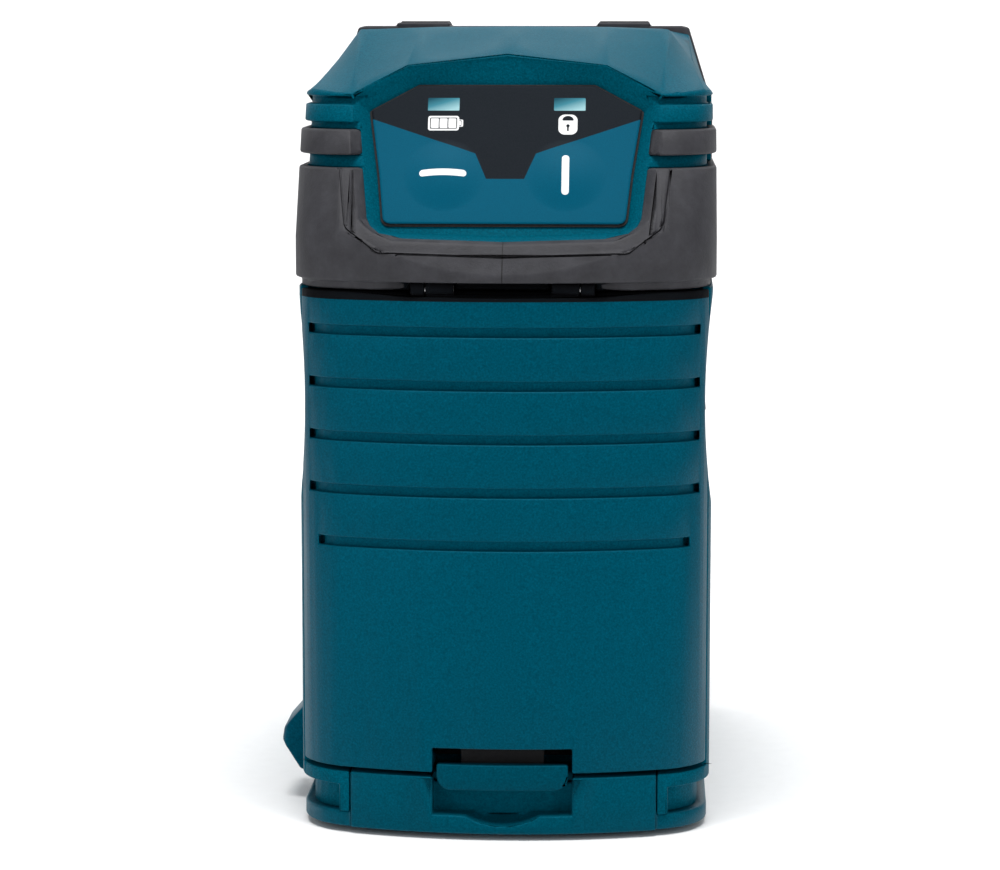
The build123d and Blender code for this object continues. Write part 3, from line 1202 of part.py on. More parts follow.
with BuildPart() as gimbal_ring:
    height = RING_HALF_HEIGHT
    outer = (PIVOT_Y - RING_HALF_Y, PIVOT_Y + RING_HALF_Y, -RING_HALF_X, RING_HALF_X)
    add(slab(PIVOT_Z - height, PIVOT_Z + height, *outer))
    room_y = RING_HALF_Y - BEARING_WIDTH - BEARING_SHOULDER
    room_x = RING_HALF_X - RING_WALL
    room = (PIVOT_Y - room_y, PIVOT_Y + room_y, -room_x, room_x)
    add(slab(0, BIG, *room), mode=Mode.SUBTRACT)
    for x in (-1, 1):
        tip = x * (CHEEK_X + BEARING_WIDTH)
        add(tube(BEARING_IN_R, (x * (RING_HALF_X - 1), PIVOT_Y, PIVOT_Z), (tip, PIVOT_Y, PIVOT_Z)))
    for y in (-1, 1):
        seat_from = (0, PIVOT_Y + y * (RING_HALF_Y - BEARING_WIDTH), PIVOT_Z)
        add(tube(BEARING_OUT_R, seat_from, (0, PIVOT_Y + y * BIG, PIVOT_Z)), mode=Mode.SUBTRACT)
        bore = tube(BEARING_IN_R + 0.6, (0, PIVOT_Y, PIVOT_Z), (0, PIVOT_Y + y * BIG, PIVOT_Z))
        add(bore, mode=Mode.SUBTRACT)
finish(gimbal_ring, "gimbal_ring")

with BuildPart() as ring_bearings:
    ends = []
    for y in (-1, 1):
        inner_y = PIVOT_Y + y * (RING_HALF_Y - BEARING_WIDTH)
        ends.append(((0, inner_y, PIVOT_Z), (0, PIVOT_Y + y * RING_HALF_Y, PIVOT_Z)))
    add(bearing_pair(ends))
finish(ring_bearings, "ring_bearings")

LASER_Z = [PIVOT_Z - LASER_FIRST, PIVOT_Z - LASER_FIRST - LASER_PITCH]
LASER_REAR = PIVOT_Y - LASER_LENGTH / 2 + 3
with BuildPart() as pendulum:
    hub_y = RING_HALF_Y - BEARING_WIDTH - BEARING_SHOULDER - 1.0
    hub = (PIVOT_Y - hub_y, PIVOT_Y + hub_y, -HUB_HALF_X, HUB_HALF_X)
    add(slab(PIVOT_Z - HUB_HALF_HEIGHT, PIVOT_Z + HUB_HALF_HEIGHT, *hub))
    add(tube(BEARING_IN_R, (0, PIVOT_Y - RING_HALF_Y, PIVOT_Z), (0, PIVOT_Y + RING_HALF_Y, PIVOT_Z)))
    arm = (PIVOT_Y - ARM_HALF_Y, PIVOT_Y + ARM_HALF_Y, -ARM_HALF_X, ARM_HALF_X)
    add(slab(DAMPER_LOW + DAMPER_THICK, PIVOT_Z - HUB_HALF_HEIGHT + 1, *arm))
    clamp_r = LASER_R + CLAMP_WALL
    for z in LASER_Z:
        add(tube(clamp_r, (0, PIVOT_Y - CLAMP_LENGTH / 2, z), (0, PIVOT_Y + CLAMP_LENGTH / 2, z)))
    for z in LASER_Z:
        add(tube(LASER_R, (0, PIVOT_Y - BIG, z), (0, PIVOT_Y + BIG, z)), mode=Mode.SUBTRACT)
    add(slab(BALANCE_LOW - 3, BALANCE_LOW + 10, PIVOT_Y - 5, PIVOT_Y + 5, -6, 6))
    add(tube(BALANCE_R, (0, PIVOT_Y, BALANCE_LOW), (20, PIVOT_Y, BALANCE_LOW)), mode=Mode.SUBTRACT)
    upper = BALANCE_LOW + 6
    add(tube(BALANCE_R, (0, PIVOT_Y, upper), (0, PIVOT_Y + 20, upper)), mode=Mode.SUBTRACT)
finish(pendulum, "pendulum")

for z, name in zip(LASER_Z, ("horizontal_laser", "vertical_laser")):
    with BuildPart() as laser:
        front_y = LASER_REAR + LASER_LENGTH
        add(tube(LASER_R, (0, LASER_REAR, z), (0, front_y, z)))
        add(tube(LENS_R + 1.6, (0, front_y - 3, z), (0, front_y + 1, z)), mode=Mode.SUBTRACT)
    finish(laser, name)

for z, name, way in zip(LASER_Z, ("horizontal_line_lens", "vertical_line_lens"), ((0, 0, 1), (1, 0, 0))):
    with BuildPart() as rod_lens:
        middle = Vector(0, LASER_REAR + LASER_LENGTH - 3 + LENS_R, z)
        half_rod = Vector(*way) * (LENS_LENGTH / 2)
        add(tube(LENS_R, tuple(middle - half_rod), tuple(middle + half_rod)))
    finish(rod_lens, name)

with BuildPart() as balance_screws:
    add(tube(BALANCE_R, (1, PIVOT_Y, BALANCE_LOW), (1 + BALANCE_LENGTH - 4, PIVOT_Y, BALANCE_LOW)))
    high = BALANCE_LOW + 6
    add(tube(BALANCE_R, (0, PIVOT_Y + 1, high), (0, PIVOT_Y + BALANCE_LENGTH - 4, high)))
finish(balance_screws, "balance_screws")

with BuildPart() as damper_plate:
    reach = DAMPER_HALF
    add(slab(DAMPER_LOW, DAMPER_LOW + DAMPER_THICK, PIVOT_Y - reach, PIVOT_Y + reach, -reach, reach))
    fillet(damper_plate.edges().filter_by(Axis.Z), 1.5)
finish(damper_plate, "damper_plate")

with BuildPart() as damper_magnets:
    for x, y in MAGNETS:
        reach = MAGNET_HALF
        add(slab(MAGNET_TOP - MAGNET_HEIGHT, MAGNET_TOP, y - reach, y + reach, x - reach, x + reach))
finish(damper_magnets, "damper_magnets")
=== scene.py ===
"""A pocket-size self-levelling cross-line laser level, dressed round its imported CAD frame."""

import json
import math

import bmesh
import bpy
import numpy as np
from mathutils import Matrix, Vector

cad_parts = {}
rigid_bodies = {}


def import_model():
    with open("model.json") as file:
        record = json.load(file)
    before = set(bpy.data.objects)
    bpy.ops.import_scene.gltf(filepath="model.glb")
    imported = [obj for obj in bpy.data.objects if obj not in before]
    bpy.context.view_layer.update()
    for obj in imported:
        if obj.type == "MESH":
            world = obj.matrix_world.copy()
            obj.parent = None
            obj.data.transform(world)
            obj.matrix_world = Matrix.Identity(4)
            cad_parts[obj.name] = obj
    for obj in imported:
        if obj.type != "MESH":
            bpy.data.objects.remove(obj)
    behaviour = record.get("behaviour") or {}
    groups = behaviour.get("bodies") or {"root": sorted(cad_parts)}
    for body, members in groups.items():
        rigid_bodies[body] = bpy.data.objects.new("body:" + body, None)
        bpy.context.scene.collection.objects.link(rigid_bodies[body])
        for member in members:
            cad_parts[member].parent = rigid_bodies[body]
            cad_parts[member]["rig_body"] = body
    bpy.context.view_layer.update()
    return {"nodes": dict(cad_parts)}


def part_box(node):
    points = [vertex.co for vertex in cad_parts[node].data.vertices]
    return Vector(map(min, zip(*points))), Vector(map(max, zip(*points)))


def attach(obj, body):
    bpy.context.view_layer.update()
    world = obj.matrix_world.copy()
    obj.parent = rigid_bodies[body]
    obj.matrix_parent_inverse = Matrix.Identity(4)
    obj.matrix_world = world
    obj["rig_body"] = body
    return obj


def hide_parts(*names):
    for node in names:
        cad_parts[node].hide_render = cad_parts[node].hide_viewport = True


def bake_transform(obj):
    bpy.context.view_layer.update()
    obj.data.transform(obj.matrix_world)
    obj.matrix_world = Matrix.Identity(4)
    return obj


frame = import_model()
NODES = frame["nodes"]
MM = 0.001

# ------------------------------------------------------------------ camera
# A long lens half a metre behind the level, a little to its right and above it, looking down.
camera = bpy.data.objects.new("camera", bpy.data.cameras.new("camera"))
camera.data.lens = 115.1
camera.data.sensor_width = 36.0
camera.data.clip_start = 0.01
camera.location = (0.0197, -0.5023, 0.1189)
camera.rotation_euler = (math.radians(90 - 7.49), 0, math.radians(2.53))
bpy.context.scene.collection.objects.link(camera)
bpy.context.scene.camera = camera


# ------------------------------------------------------------------ studio
# A pale paper sweep under and behind the level, a wide soft box overhead and one each side.
def grid_mesh(name, points, smooth=True, loops=False):
    """Quads over a grid of points, rows x columns x 3 in metres; loops joins the last column
    to the first, as round a tube."""
    rows, columns = points.shape[:2]
    index = np.arange(rows * columns).reshape(rows, columns)
    if loops:
        index = np.concatenate([index, index[:, :1]], axis=1)
    quads = np.stack([index[:-1, :-1], index[:-1, 1:], index[1:, 1:], index[1:, :-1]], axis=-1)
    mesh = bpy.data.meshes.new(name)
    mesh.from_pydata(points.reshape(-1, 3).tolist(), [], quads.reshape(-1, 4).tolist())
    mesh.polygons.foreach_set("use_smooth", np.full(len(mesh.polygons), smooth))
    mesh.update()
    return mesh


def placed(name, mesh, *materials):
    """An object at the origin that shows the mesh in these materials."""
    item = bpy.data.objects.new(name, mesh)
    for material in materials:
        mesh.materials.append(material)
    bpy.context.scene.collection.objects.link(item)
    return item


def shading(name):
    """A new material, its Principled shader, and two calls that add and wire nodes."""
    material = bpy.data.materials.new(name)
    material.use_nodes = True
    tree = material.node_tree
    shader = tree.nodes["Principled BSDF"]

    def wire(value, node, socket):
        """Links an output to an input given by name or number, or sets it to a constant."""
        target = node.inputs[socket]
        if isinstance(value, bpy.types.NodeSocket):
            tree.links.new(value, target)
        else:
            target.default_value = value

    def add(kind, inputs=(), **settings):
        """Adds a node with these settings; inputs pairs a socket with a value or an output."""
        node = tree.nodes.new("ShaderNode" + kind)
        for key, value in settings.items():
            setattr(node, key, value)
        for socket, value in dict(inputs).items():
            wire(value, node, socket)
        return node

    return material, shader, add, wire


def linear(red, green, blue):
    """An sRGB colour given in 0 to 255, as linear red, green and blue with alpha."""
    share = np.array([red, green, blue]) / 255
    return (*np.where(share <= 0.04045, share / 12.92, ((share + 0.055) / 1.055) ** 2.4), 1.0)


def ramp_of(add, factor, *stops):
    """A colour ramp over factor; each stop is a position and a colour."""
    ramp = add("ValToRGB", {"Fac": factor})
    while len(ramp.color_ramp.elements) < len(stops):
        ramp.color_ramp.elements.new(0.5)
    for element, (position, colour) in zip(ramp.color_ramp.elements, stops):
        element.position = position
        element.color = colour
    return ramp.outputs["Color"]


def studio_paper():
    """Matte white paper with a very faint tooth."""
    material, shader, add, wire = shading("studio_paper")
    tooth = add("TexNoise", {"Vector": add("TexCoord").outputs["Object"], "Scale": 400.0})
    tint = ramp_of(add, tooth.outputs["Fac"], (0.0, (0.92, 0.92, 0.92, 1)), (1.0, (0.97, 0.97, 0.97, 1)))
    wire(tint, shader, "Base Color")
    shader.inputs["Roughness"].default_value = 0.9
    return material


SWEEP_HALF = 1.8
SWEEP_NEAR = -1.2
SWEEP_FAR = 2.6  # length of paper from the origin, along the floor and up the bend
SWEEP_FLAT = 0.6  # the bend starts this far behind the origin
SWEEP_BEND = 0.4
columns = np.linspace(-SWEEP_HALF, SWEEP_HALF, 24)
across, along = np.meshgrid(columns, np.linspace(SWEEP_NEAR, SWEEP_FAR, 80), indexing="ij")
turn = np.clip((along - SWEEP_FLAT) / SWEEP_BEND, 0, math.pi / 2)
rise = np.clip(along - SWEEP_FLAT - SWEEP_BEND * math.pi / 2, 0, None)
sweep_y = np.minimum(along, SWEEP_FLAT) + SWEEP_BEND * np.sin(turn)
sweep_z = SWEEP_BEND * (1 - np.cos(turn)) + rise
placed("floor", grid_mesh("floor", np.stack([across, sweep_y, sweep_z], axis=-1)), studio_paper())


def soft_light(name, place, aim, size, power):
    """A rectangular area light that looks at a point; size in metres, power in watts."""
    data = bpy.data.lights.new(name, "AREA")
    data.shape = "RECTANGLE"
    data.size, data.size_y = size
    data.energy = power
    item = bpy.data.objects.new(name, data)
    item.location = place
    item.rotation_euler = (Vector(aim) - Vector(place)).to_track_quat("-Z", "Y").to_euler()
    bpy.context.scene.collection.objects.link(item)


MIDDLE = (0.0, 0.0, 0.06)
soft_light("overhead_box", (0.0, -0.22, 0.9), MIDDLE, (0.5, 0.25), 7.5)
soft_light("left_box", (-0.75, -0.75, 0.45), MIDDLE, (0.3, 0.7), 2.3)
soft_light("right_box", (0.75, -0.75, 0.45), MIDDLE, (0.3, 0.7), 2.3)
soft_light("backdrop_box", (0.0, 0.35, 1.1), (0.0, 1.1, 0.2), (1.6, 0.4), 9.0)
world = bpy.data.worlds.new("studio")
world.use_nodes = True
world.node_tree.nodes["Background"].inputs["Color"].default_value = (0.95, 0.97, 1.0, 1.0)
world.node_tree.nodes["Background"].inputs["Strength"].default_value = 0.20
bpy.context.scene.world = world
bpy.context.scene.view_settings.view_transform = "Standard"


# ------------------------------------------------------------------ casings
# Front and rear casing: injection moulded ABS, dyed teal, with a spark-eroded satin skin and
# small round edges. Long screws from the front hold them together. The slot under the rubber
# belt, where the door's hinge lies, is painted black with its gleam turned down, as painted shade.
def moulded(name, colour, rough=0.45, grain=0.28, depth=0.035, fleck=0.3, painted_shade_band=None, specular=0.22):
    """Textured plastic: grain is the skin's pitch in mm, depth its height in mm, fleck how
    far the pale and dark flecks go; painted_shade_band is two heights in mm between which the
    piece is painted black as shade, with little gleam, behind SHADE_BAND_REAR."""
    material, shader, add, wire = shading(name)
    place = add("TexCoord").outputs["Object"]
    skin = add("TexNoise", {"Vector": place, "Scale": 1 / (grain * MM), "Detail": 3.0, "Roughness": 0.6})
    broad = add("TexNoise", {"Vector": place, "Scale": 60.0, "Detail": 4.0})
    base = np.array(colour[:3])
    dark = (*(base * (1 - fleck)), 1)
    pale = (*(base * (1 + fleck)), 1)
    tint = ramp_of(add, skin.outputs["Fac"], (0.34, dark), (0.55, colour), (0.72, pale))
    # Painted shade: black between the two heights and behind the rear Y, for the slot under the belt.
    if painted_shade_band:
        parts = add("SeparateXYZ", {"Vector": place})
        above = add("Math", {0: parts.outputs["Z"], 1: painted_shade_band[0] * MM}, operation="GREATER_THAN")
        below = add("Math", {0: parts.outputs["Z"], 1: painted_shade_band[1] * MM}, operation="LESS_THAN")
        behind = add("Math", {0: parts.outputs["Y"], 1: SHADE_BAND_REAR * MM}, operation="LESS_THAN")
        both = add("Math", {0: above.outputs[0], 1: below.outputs[0]}, operation="MULTIPLY")
        band = add("Math", {0: both.outputs[0], 1: behind.outputs[0]}, operation="MULTIPLY")
        mix = add("MixRGB", {"Fac": band.outputs[0], "Color1": tint, "Color2": (0.006, 0.006, 0.007, 1)})
        tint = mix.outputs["Color"]
    wire(tint, shader, "Base Color")
    shader.inputs["Specular IOR Level"].default_value = specular
    # dyed resin gleams in its own hue
    shader.inputs["Specular Tint"].default_value = (*(base / base.max()), 1)
    # the painted shade also loses its gleam
    if painted_shade_band:
        mirror = add("MapRange", {"Value": band.outputs[0], "To Min": specular, "To Max": 0.02})
        wire(mirror.outputs["Result"], shader, "Specular IOR Level")
    gloss = add("MapRange", {"Value": broad.outputs["Fac"], "To Min": rough - 0.07, "To Max": rough + 0.07})
    wire(gloss.outputs["Result"], shader, "Roughness")
    bump = add("Bump", {"Height": skin.outputs["Fac"], "Distance": depth * MM, "Strength": 1.0})
    wire(bump.outputs["Normal"], shader, "Normal")
    return material


def softened(node, width, slot, *materials, angle=30.0, segments=2):
    """A CAD node's mesh welded into one skin, its flat areas merged and its edges rounded."""
    skin = bmesh.new()
    skin.from_mesh(NODES[node].data)
    bmesh.ops.remove_doubles(skin, verts=skin.verts, dist=2e-6)
    bmesh.ops.dissolve_limit(skin, angle_limit=math.radians(0.4), verts=skin.verts, edges=skin.edges)
    mesh = bpy.data.meshes.new(node + "_skin")
    skin.to_mesh(mesh)
    skin.free()
    mesh.polygons.foreach_set("use_smooth", np.ones(len(mesh.polygons), bool))
    item = placed(node + "_skin", mesh, *materials)
    edge = item.modifiers.new("edge", "BEVEL")
    edge.width = width * MM
    edge.segments = segments
    edge.angle_limit = math.radians(angle)
    edge.use_clamp_overlap = False
    edge.harden_normals = True
    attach(item, NODES[node]["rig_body"])
    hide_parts(node)
    return item


def finish_of(material, *nodes):
    """Gives CAD nodes that stay their own finish."""
    for node in nodes:
        NODES[node].data.materials.clear()
        NODES[node].data.materials.append(material)


# The slot under the belt is painted black as shade on the casing and the door behind this Y in mm.
SHADE_BAND_REAR = -40.4
BELT_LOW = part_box("rear_belt")[0].z / MM
# heights in mm between which the casing is painted black as shade
CASING_SHADE_BAND = (BELT_LOW - 1.55, BELT_LOW + 1.2)
casing_plastic = moulded("casing_plastic", linear(0, 78, 96), painted_shade_band=CASING_SHADE_BAND, specular=0.03)
softened("rear_casing", 0.25, "casing_teal", casing_plastic)
softened("front_casing", 0.25, "casing_teal", casing_plastic)

# ------------------------------------------------------------------ rubber
# Belt, grip ribs and front bezel: soft black TPE moulded over the casing, with a dull, slightly
# mottled grain and soft edges. The belt has a fine moulding seam down the middle of its rear.
def rubber_finish(name, colour, seam=False):
    """Dull mottled rubber; seam darkens a hairline at X 0 on the rear."""
    material, shader, add, wire = shading(name)
    place = add("TexCoord").outputs["Object"]
    skin = add("TexNoise", {"Vector": place, "Scale": 2600.0, "Detail": 3.0, "Roughness": 0.65})
    cloudy = add("TexNoise", {"Vector": place, "Scale": 260.0, "Detail": 5.0, "Roughness": 0.7})
    height = add("Math", {0: skin.outputs["Fac"], 1: cloudy.outputs["Fac"]}, operation="ADD")
    base = np.array(colour[:3])
    tint = ramp_of(
        add, cloudy.outputs["Fac"], (0.3, (*(base * 0.72), 1)), (0.52, colour), (0.75, (*(base * 1.35), 1))
    )
    if seam:
        parts = add("SeparateXYZ", {"Vector": place})
        off = add("Math", {0: parts.outputs["X"]}, operation="ABSOLUTE")
        line = add("MapRange", {"Value": off.outputs[0], "From Min": 0.00004, "From Max": 0.00011})
        near = add("Math", {0: parts.outputs["Y"], 1: -0.03}, operation="GREATER_THAN")
        clear = add("Math", {0: line.outputs["Result"], 1: near.outputs[0]}, operation="MAXIMUM")
        mix = add("MixRGB", {"Fac": clear.outputs[0], "Color1": (0.008, 0.008, 0.008, 1), "Color2": tint})
        tint = mix.outputs["Color"]
    wire(tint, shader, "Base Color")
    gloss = add("MapRange", {"Value": cloudy.outputs["Fac"], "To Min": 0.50, "To Max": 0.68})
    wire(gloss.outputs["Result"], shader, "Roughness")
    bump = add("Bump", {"Height": height.outputs[0], "Distance": 0.00006, "Strength": 0.8})
    wire(bump.outputs["Normal"], shader, "Normal")
    shader.inputs["Specular IOR Level"].default_value = 0.2
    return material


RUBBER = linear(54, 54, 58)
rib_rubber = rubber_finish("rib_rubber", RUBBER)
softened("rear_belt", 0.35, "rubber_black", rubber_finish("belt_rubber", RUBBER, seam=True))
for rubber_node in ("left_grip_rib", "right_grip_rib", "front_bumper"):
    softened(rubber_node, 0.35, "rubber_black", rib_rubber)

# ------------------------------------------------------------------ battery door
# One moulded teal cover that wraps both rear corners, with five grip grooves. It hangs on two
# steel pins under the belt and is held at the foot by a spring tab.
# The door is painted black as shade above the first of these heights, where its hinge knuckles lie in the
# slot under the belt.
DOOR_SHADE_BAND = (BELT_LOW - 1.49, BELT_LOW + 2.0)  # only the hinge knuckles reach into it
door_plastic = moulded("door_plastic", linear(0, 70, 88), painted_shade_band=DOOR_SHADE_BAND)
softened("battery_door", 0.25, "door_teal", door_plastic)
softened("door_latch", 0.3, "latch_teal", moulded("latch_plastic", linear(0, 64, 80)))


def plain_black(name, level=0.012, rough=0.5):
    """Black moulded plastic or rubber with a faint grain."""
    return moulded(name, (level, level, level * 1.05, 1), rough, grain=0.4, depth=0.02)


# The latch stem is near black, darker than the other black parts: partly its own black plastic, partly
# painted shade in the gap above the door's tab.
latch_stem_black_and_shade = plain_black("latch_stem_black_and_shade", 0.004, 0.7)
finish_of(latch_stem_black_and_shade, "latch_stem")
# Black foam and rubber; the same black strip round the keypad film is painted shade in its gap.
seal_foam_and_gap_shade = plain_black("seal_foam_and_gap_shade", 0.02, 0.85)
finish_of(seal_foam_and_gap_shade, "door_seal", "window_gasket", "base_feet")


# ------------------------------------------------------------------ metals
# Pins, screws and bearings are bright steel; the gimbal frame and pendulum are zinc castings;
# laser barrels and balance screws are turned brass, the damper plate is copper.
def metal(name, colour, rough=0.3, grain=0.2, depth=0.01, spread=0.12):
    """Bare metal whose gloss varies in patches, with a fine skin of the given pitch in mm."""
    material, shader, add, wire = shading(name)
    place = add("TexCoord").outputs["Object"]
    skin = add("TexNoise", {"Vector": place, "Scale": 1 / (grain * MM), "Detail": 3.0})
    patch = add("TexNoise", {"Vector": place, "Scale": 180.0, "Detail": 4.0})
    base = np.array(colour)
    tint = ramp_of(add, patch.outputs["Fac"], (0.3, (*(base * 0.8), 1)), (0.7, (*base, 1)))
    wire(tint, shader, "Base Color")
    gloss = add("MapRange", {"Value": patch.outputs["Fac"], "To Min": rough, "To Max": rough + spread})
    wire(gloss.outputs["Result"], shader, "Roughness")
    bump = add("Bump", {"Height": skin.outputs["Fac"], "Distance": depth * MM, "Strength": 0.6})
    wire(bump.outputs["Normal"], shader, "Normal")
    shader.inputs["Metallic"].default_value = 1.0
    return material


bright_steel = metal("bright_steel", (0.60, 0.60, 0.61), 0.22)
turned_brass = metal("turned_brass", (0.75, 0.56, 0.26), 0.24)
zinc_cast = metal("zinc_cast", (0.50, 0.51, 0.53), 0.42, grain=0.35, depth=0.03)
copper_sheet = metal("copper_sheet", (0.80, 0.42, 0.28), 0.30)
nickel_plate = metal("nickel_plate", (0.68, 0.67, 0.63), 0.18)
finish_of(
    bright_steel, "casing_screws", "hinge_pins", "carrier_screws", "carrier_bearings", "ring_bearings",
    "panel_board_screws", "main_board_screws",
)
finish_of(zinc_cast, "gimbal_carrier", "gimbal_ring", "pendulum")
finish_of(turned_brass, "horizontal_laser", "vertical_laser", "balance_screws")
finish_of(copper_sheet, "damper_plate")
finish_of(nickel_plate, "contact_plates", "damper_magnets")


# ------------------------------------------------------------------ springs
# Three tapered coils press on the cells; one small coil pushes the door's tab down. All are
# wound from round nickel-plated wire with closed ends.
def sealed(mesh):
    """Merges points that lie on each other, such as a pole's, and turns all faces outwards."""
    work = bmesh.new()
    work.from_mesh(mesh)
    bmesh.ops.remove_doubles(work, verts=work.verts, dist=1e-7)
    bmesh.ops.recalc_face_normals(work, faces=work.faces)
    work.to_mesh(mesh)
    work.free()
    return mesh


COIL_STEPS = 28  # rings of wire per turn
COIL_BUNCH = 1.25  # the climb is this much steeper between the dead ends


def coil(name, centre, low, high, r_low, r_high, wire_r, turns, body, node):
    """A wound wire: its centre line is a helix whose radius goes evenly from r_low to r_high;
    each point is that line plus wire_r times the cosine outwards and the sine upwards. The
    turns bunch at both ends. Lengths in metres."""
    steps = int(turns * COIL_STEPS)
    share = np.linspace(0, 1, steps)
    climb = np.clip((share - 0.5) * COIL_BUNCH + 0.5, 0, 1)
    angle = 2 * np.pi * turns * share
    radius = r_low + (r_high - r_low) * share - wire_r
    z = low + wire_r + (high - low - 2 * wire_r) * climb
    around = np.linspace(0, 2 * np.pi, 10, endpoint=False)
    thick = np.full(steps, wire_r)
    thick[[0, -1]] = 0.0
    out = radius[:, None] + thick[:, None] * np.cos(around)
    points = np.stack(
        [
            centre[0] + out * np.cos(angle)[:, None],
            centre[1] + out * np.sin(angle)[:, None],
            z[:, None] + thick[:, None] * np.sin(around),
        ],
        axis=-1,
    )
    item = placed(name, sealed(grid_mesh(name, points, loops=True)), nickel_plate)
    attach(item, body)
    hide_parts(node)
    return item


spring_low, spring_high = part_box("contact_springs")
cell_low, cell_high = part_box("battery_cell_2")
cell_y = (cell_low.y + cell_high.y) / 2
for place_number in (1, 2, 3):
    one_low, one_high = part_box(f"battery_cell_{place_number}")
    spot = ((one_low.x + one_high.x) / 2, cell_y)
    made = coil(
        f"contact_spring_{place_number}", spot, spring_low.z, spring_high.z - 0.0001,
        4.6 * MM, 2.2 * MM, 0.35 * MM, 5, "casing", "contact_springs",
    )
tab_low, tab_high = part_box("latch_spring")
tab_spot = ((tab_low.x + tab_high.x) / 2, (tab_low.y + tab_high.y) / 2)
TAB_COIL_R = 0.6 * MM
made = coil(
    "tab_spring", tab_spot, tab_low.z, tab_high.z,
    TAB_COIL_R, TAB_COIL_R, 0.12 * MM, 8, "door", "latch_spring",
)


# ------------------------------------------------------------------ cells
# Three size AA cells: a steel can in a printed sleeve, bare at the button end.
def cell_sleeve():
    """Dark sleeve with a pale band near the top and bare steel over the shoulder and nub."""
    material, shader, add, wire = shading("cell_sleeve")
    place = add("TexCoord").outputs["Object"]
    height = add("SeparateXYZ", {"Vector": place}).outputs["Z"]
    ends = {"Value": height, "From Min": cell_low.z, "From Max": cell_high.z}
    share = add("MapRange", ends).outputs["Result"]
    scuff = add("TexNoise", {"Vector": place, "Scale": 900.0, "Detail": 4.0})
    print_tint = ramp_of(
        add, share, (0.0, (0.55, 0.55, 0.56, 1)), (0.02, (0.03, 0.03, 0.035, 1)),
        (0.74, (0.42, 0.43, 0.45, 1)), (0.93, (0.6, 0.6, 0.6, 1)),
    )
    print_tint.node.color_ramp.interpolation = "CONSTANT"
    steel_part = ramp_of(add, share, (0.0, (1, 1, 1, 1)), (0.02, (0, 0, 0, 1)), (0.93, (1, 1, 1, 1)))
    steel_part.node.color_ramp.interpolation = "CONSTANT"
    wire(print_tint, shader, "Base Color")
    wire(steel_part, shader, "Metallic")
    gloss = add("MapRange", {"Value": scuff.outputs["Fac"], "To Min": 0.22, "To Max": 0.38})
    wire(gloss.outputs["Result"], shader, "Roughness")
    return material


finish_of(cell_sleeve(), "battery_cell_1", "battery_cell_2", "battery_cell_3")

# ------------------------------------------------------------------ base
# Moulded teal base plate with a turned brass thread insert, four rubber feet and four
# cross-headed steel screws in counterbores.
softened("base_plate", 0.3, "base_teal", moulded("base_plastic", linear(0, 70, 87)))


def thread_insert():
    """A flanged bush: the profile runs up the outside and down the bore, whose radius follows
    a triangle wave in height plus a share of the angle, which makes a helical thread."""
    low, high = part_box("tripod_insert")
    turn = np.linspace(0, 2 * np.pi, 72, endpoint=False)
    pitch = 1.27 * MM
    bore_z = np.linspace(high.z, low.z, 90)
    mouth, body, flange, edge, thick, tall = 3.3, 4.4, 6.0, 0.1, 1.2, 9.0  # mm
    outer = MM * np.array([
        [mouth, 0.0], [flange - edge, 0.0], [flange, edge], [flange, thick - edge],
        [flange - edge, thick], [body, thick], [body, tall - edge], [body - edge, tall],
        [mouth, tall],
    ])
    wave = np.abs(((bore_z[:, None] / pitch + turn / (2 * np.pi)) % 1.0) * 2 - 1)
    fade = np.clip(np.minimum(high.z - bore_z, bore_z - low.z) / (0.5 * MM), 0, 1)[:, None]
    bore_r = 3.15 * MM - (0.5 * MM) * (1 - wave) * fade
    outer_r, outer_z = (np.repeat(outer[:, [column]], len(turn), axis=1) for column in (0, 1))
    r = np.concatenate([outer_r, bore_r])
    z = np.concatenate([outer_z + low.z, np.repeat(bore_z[:, None], len(turn), axis=1)])
    r = np.concatenate([r, r[:1]])
    z = np.concatenate([z, z[:1]])
    points = np.stack([r * np.cos(turn), r * np.sin(turn), z], axis=-1)
    mesh = sealed(grid_mesh("tripod_thread_insert", points, loops=True))
    item = placed("tripod_thread_insert", mesh, turned_brass)
    item.data.set_sharp_from_angle(angle=math.radians(35))
    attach(item, "casing")
    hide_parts("tripod_insert")


thread_insert()


def cross_head_screws(name, node, centres):
    """Pan-head screws seen from below: over the head the height is a shallow dome less a
    recess that is deep within a cross of four arms; the shank follows the head inwards."""
    low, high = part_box(node)
    turn = np.linspace(0, 2 * np.pi, 64, endpoint=False)
    head_r, shank_r, head, shoulder, tip = 2.2, 1.2, 1.5, 9.6, 10.2  # mm
    radii = np.linspace(0, 1, 22)[:, None] * head_r * MM * np.ones(len(turn))
    x, y = radii * np.cos(turn), radii * np.sin(turn)
    arms = np.minimum(np.abs(x), np.abs(y))
    reach = np.maximum(np.abs(x), np.abs(y))
    cross = np.clip((0.32 * MM - arms) / (0.12 * MM), 0, 1) * np.clip((1.35 * MM - reach) / (0.3 * MM), 0, 1)
    top = 0.35 * MM * (radii / (head_r * MM)) ** 4 + 0.75 * MM * cross
    profile = MM * np.array([[head_r, head], [shank_r, head], [shank_r, shoulder], [0.0, tip]])
    side_r = np.repeat(profile[:, :1], len(turn), axis=1)
    side_z = np.repeat(profile[:, 1:], len(turn), axis=1)
    r = np.concatenate([radii, side_r])
    z = np.concatenate([top, side_z]) + low.z
    work = bmesh.new()
    for cx, cy in centres:
        points = np.stack([cx + r * np.cos(turn), cy + r * np.sin(turn), z], axis=-1)
        work.from_mesh(grid_mesh("one_screw", points, loops=True))
    mesh = bpy.data.meshes.new(name)
    work.to_mesh(mesh)
    work.free()
    item = placed(name, sealed(mesh), bright_steel)
    item.data.set_sharp_from_angle(angle=math.radians(40))
    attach(item, "casing")
    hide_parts(node)


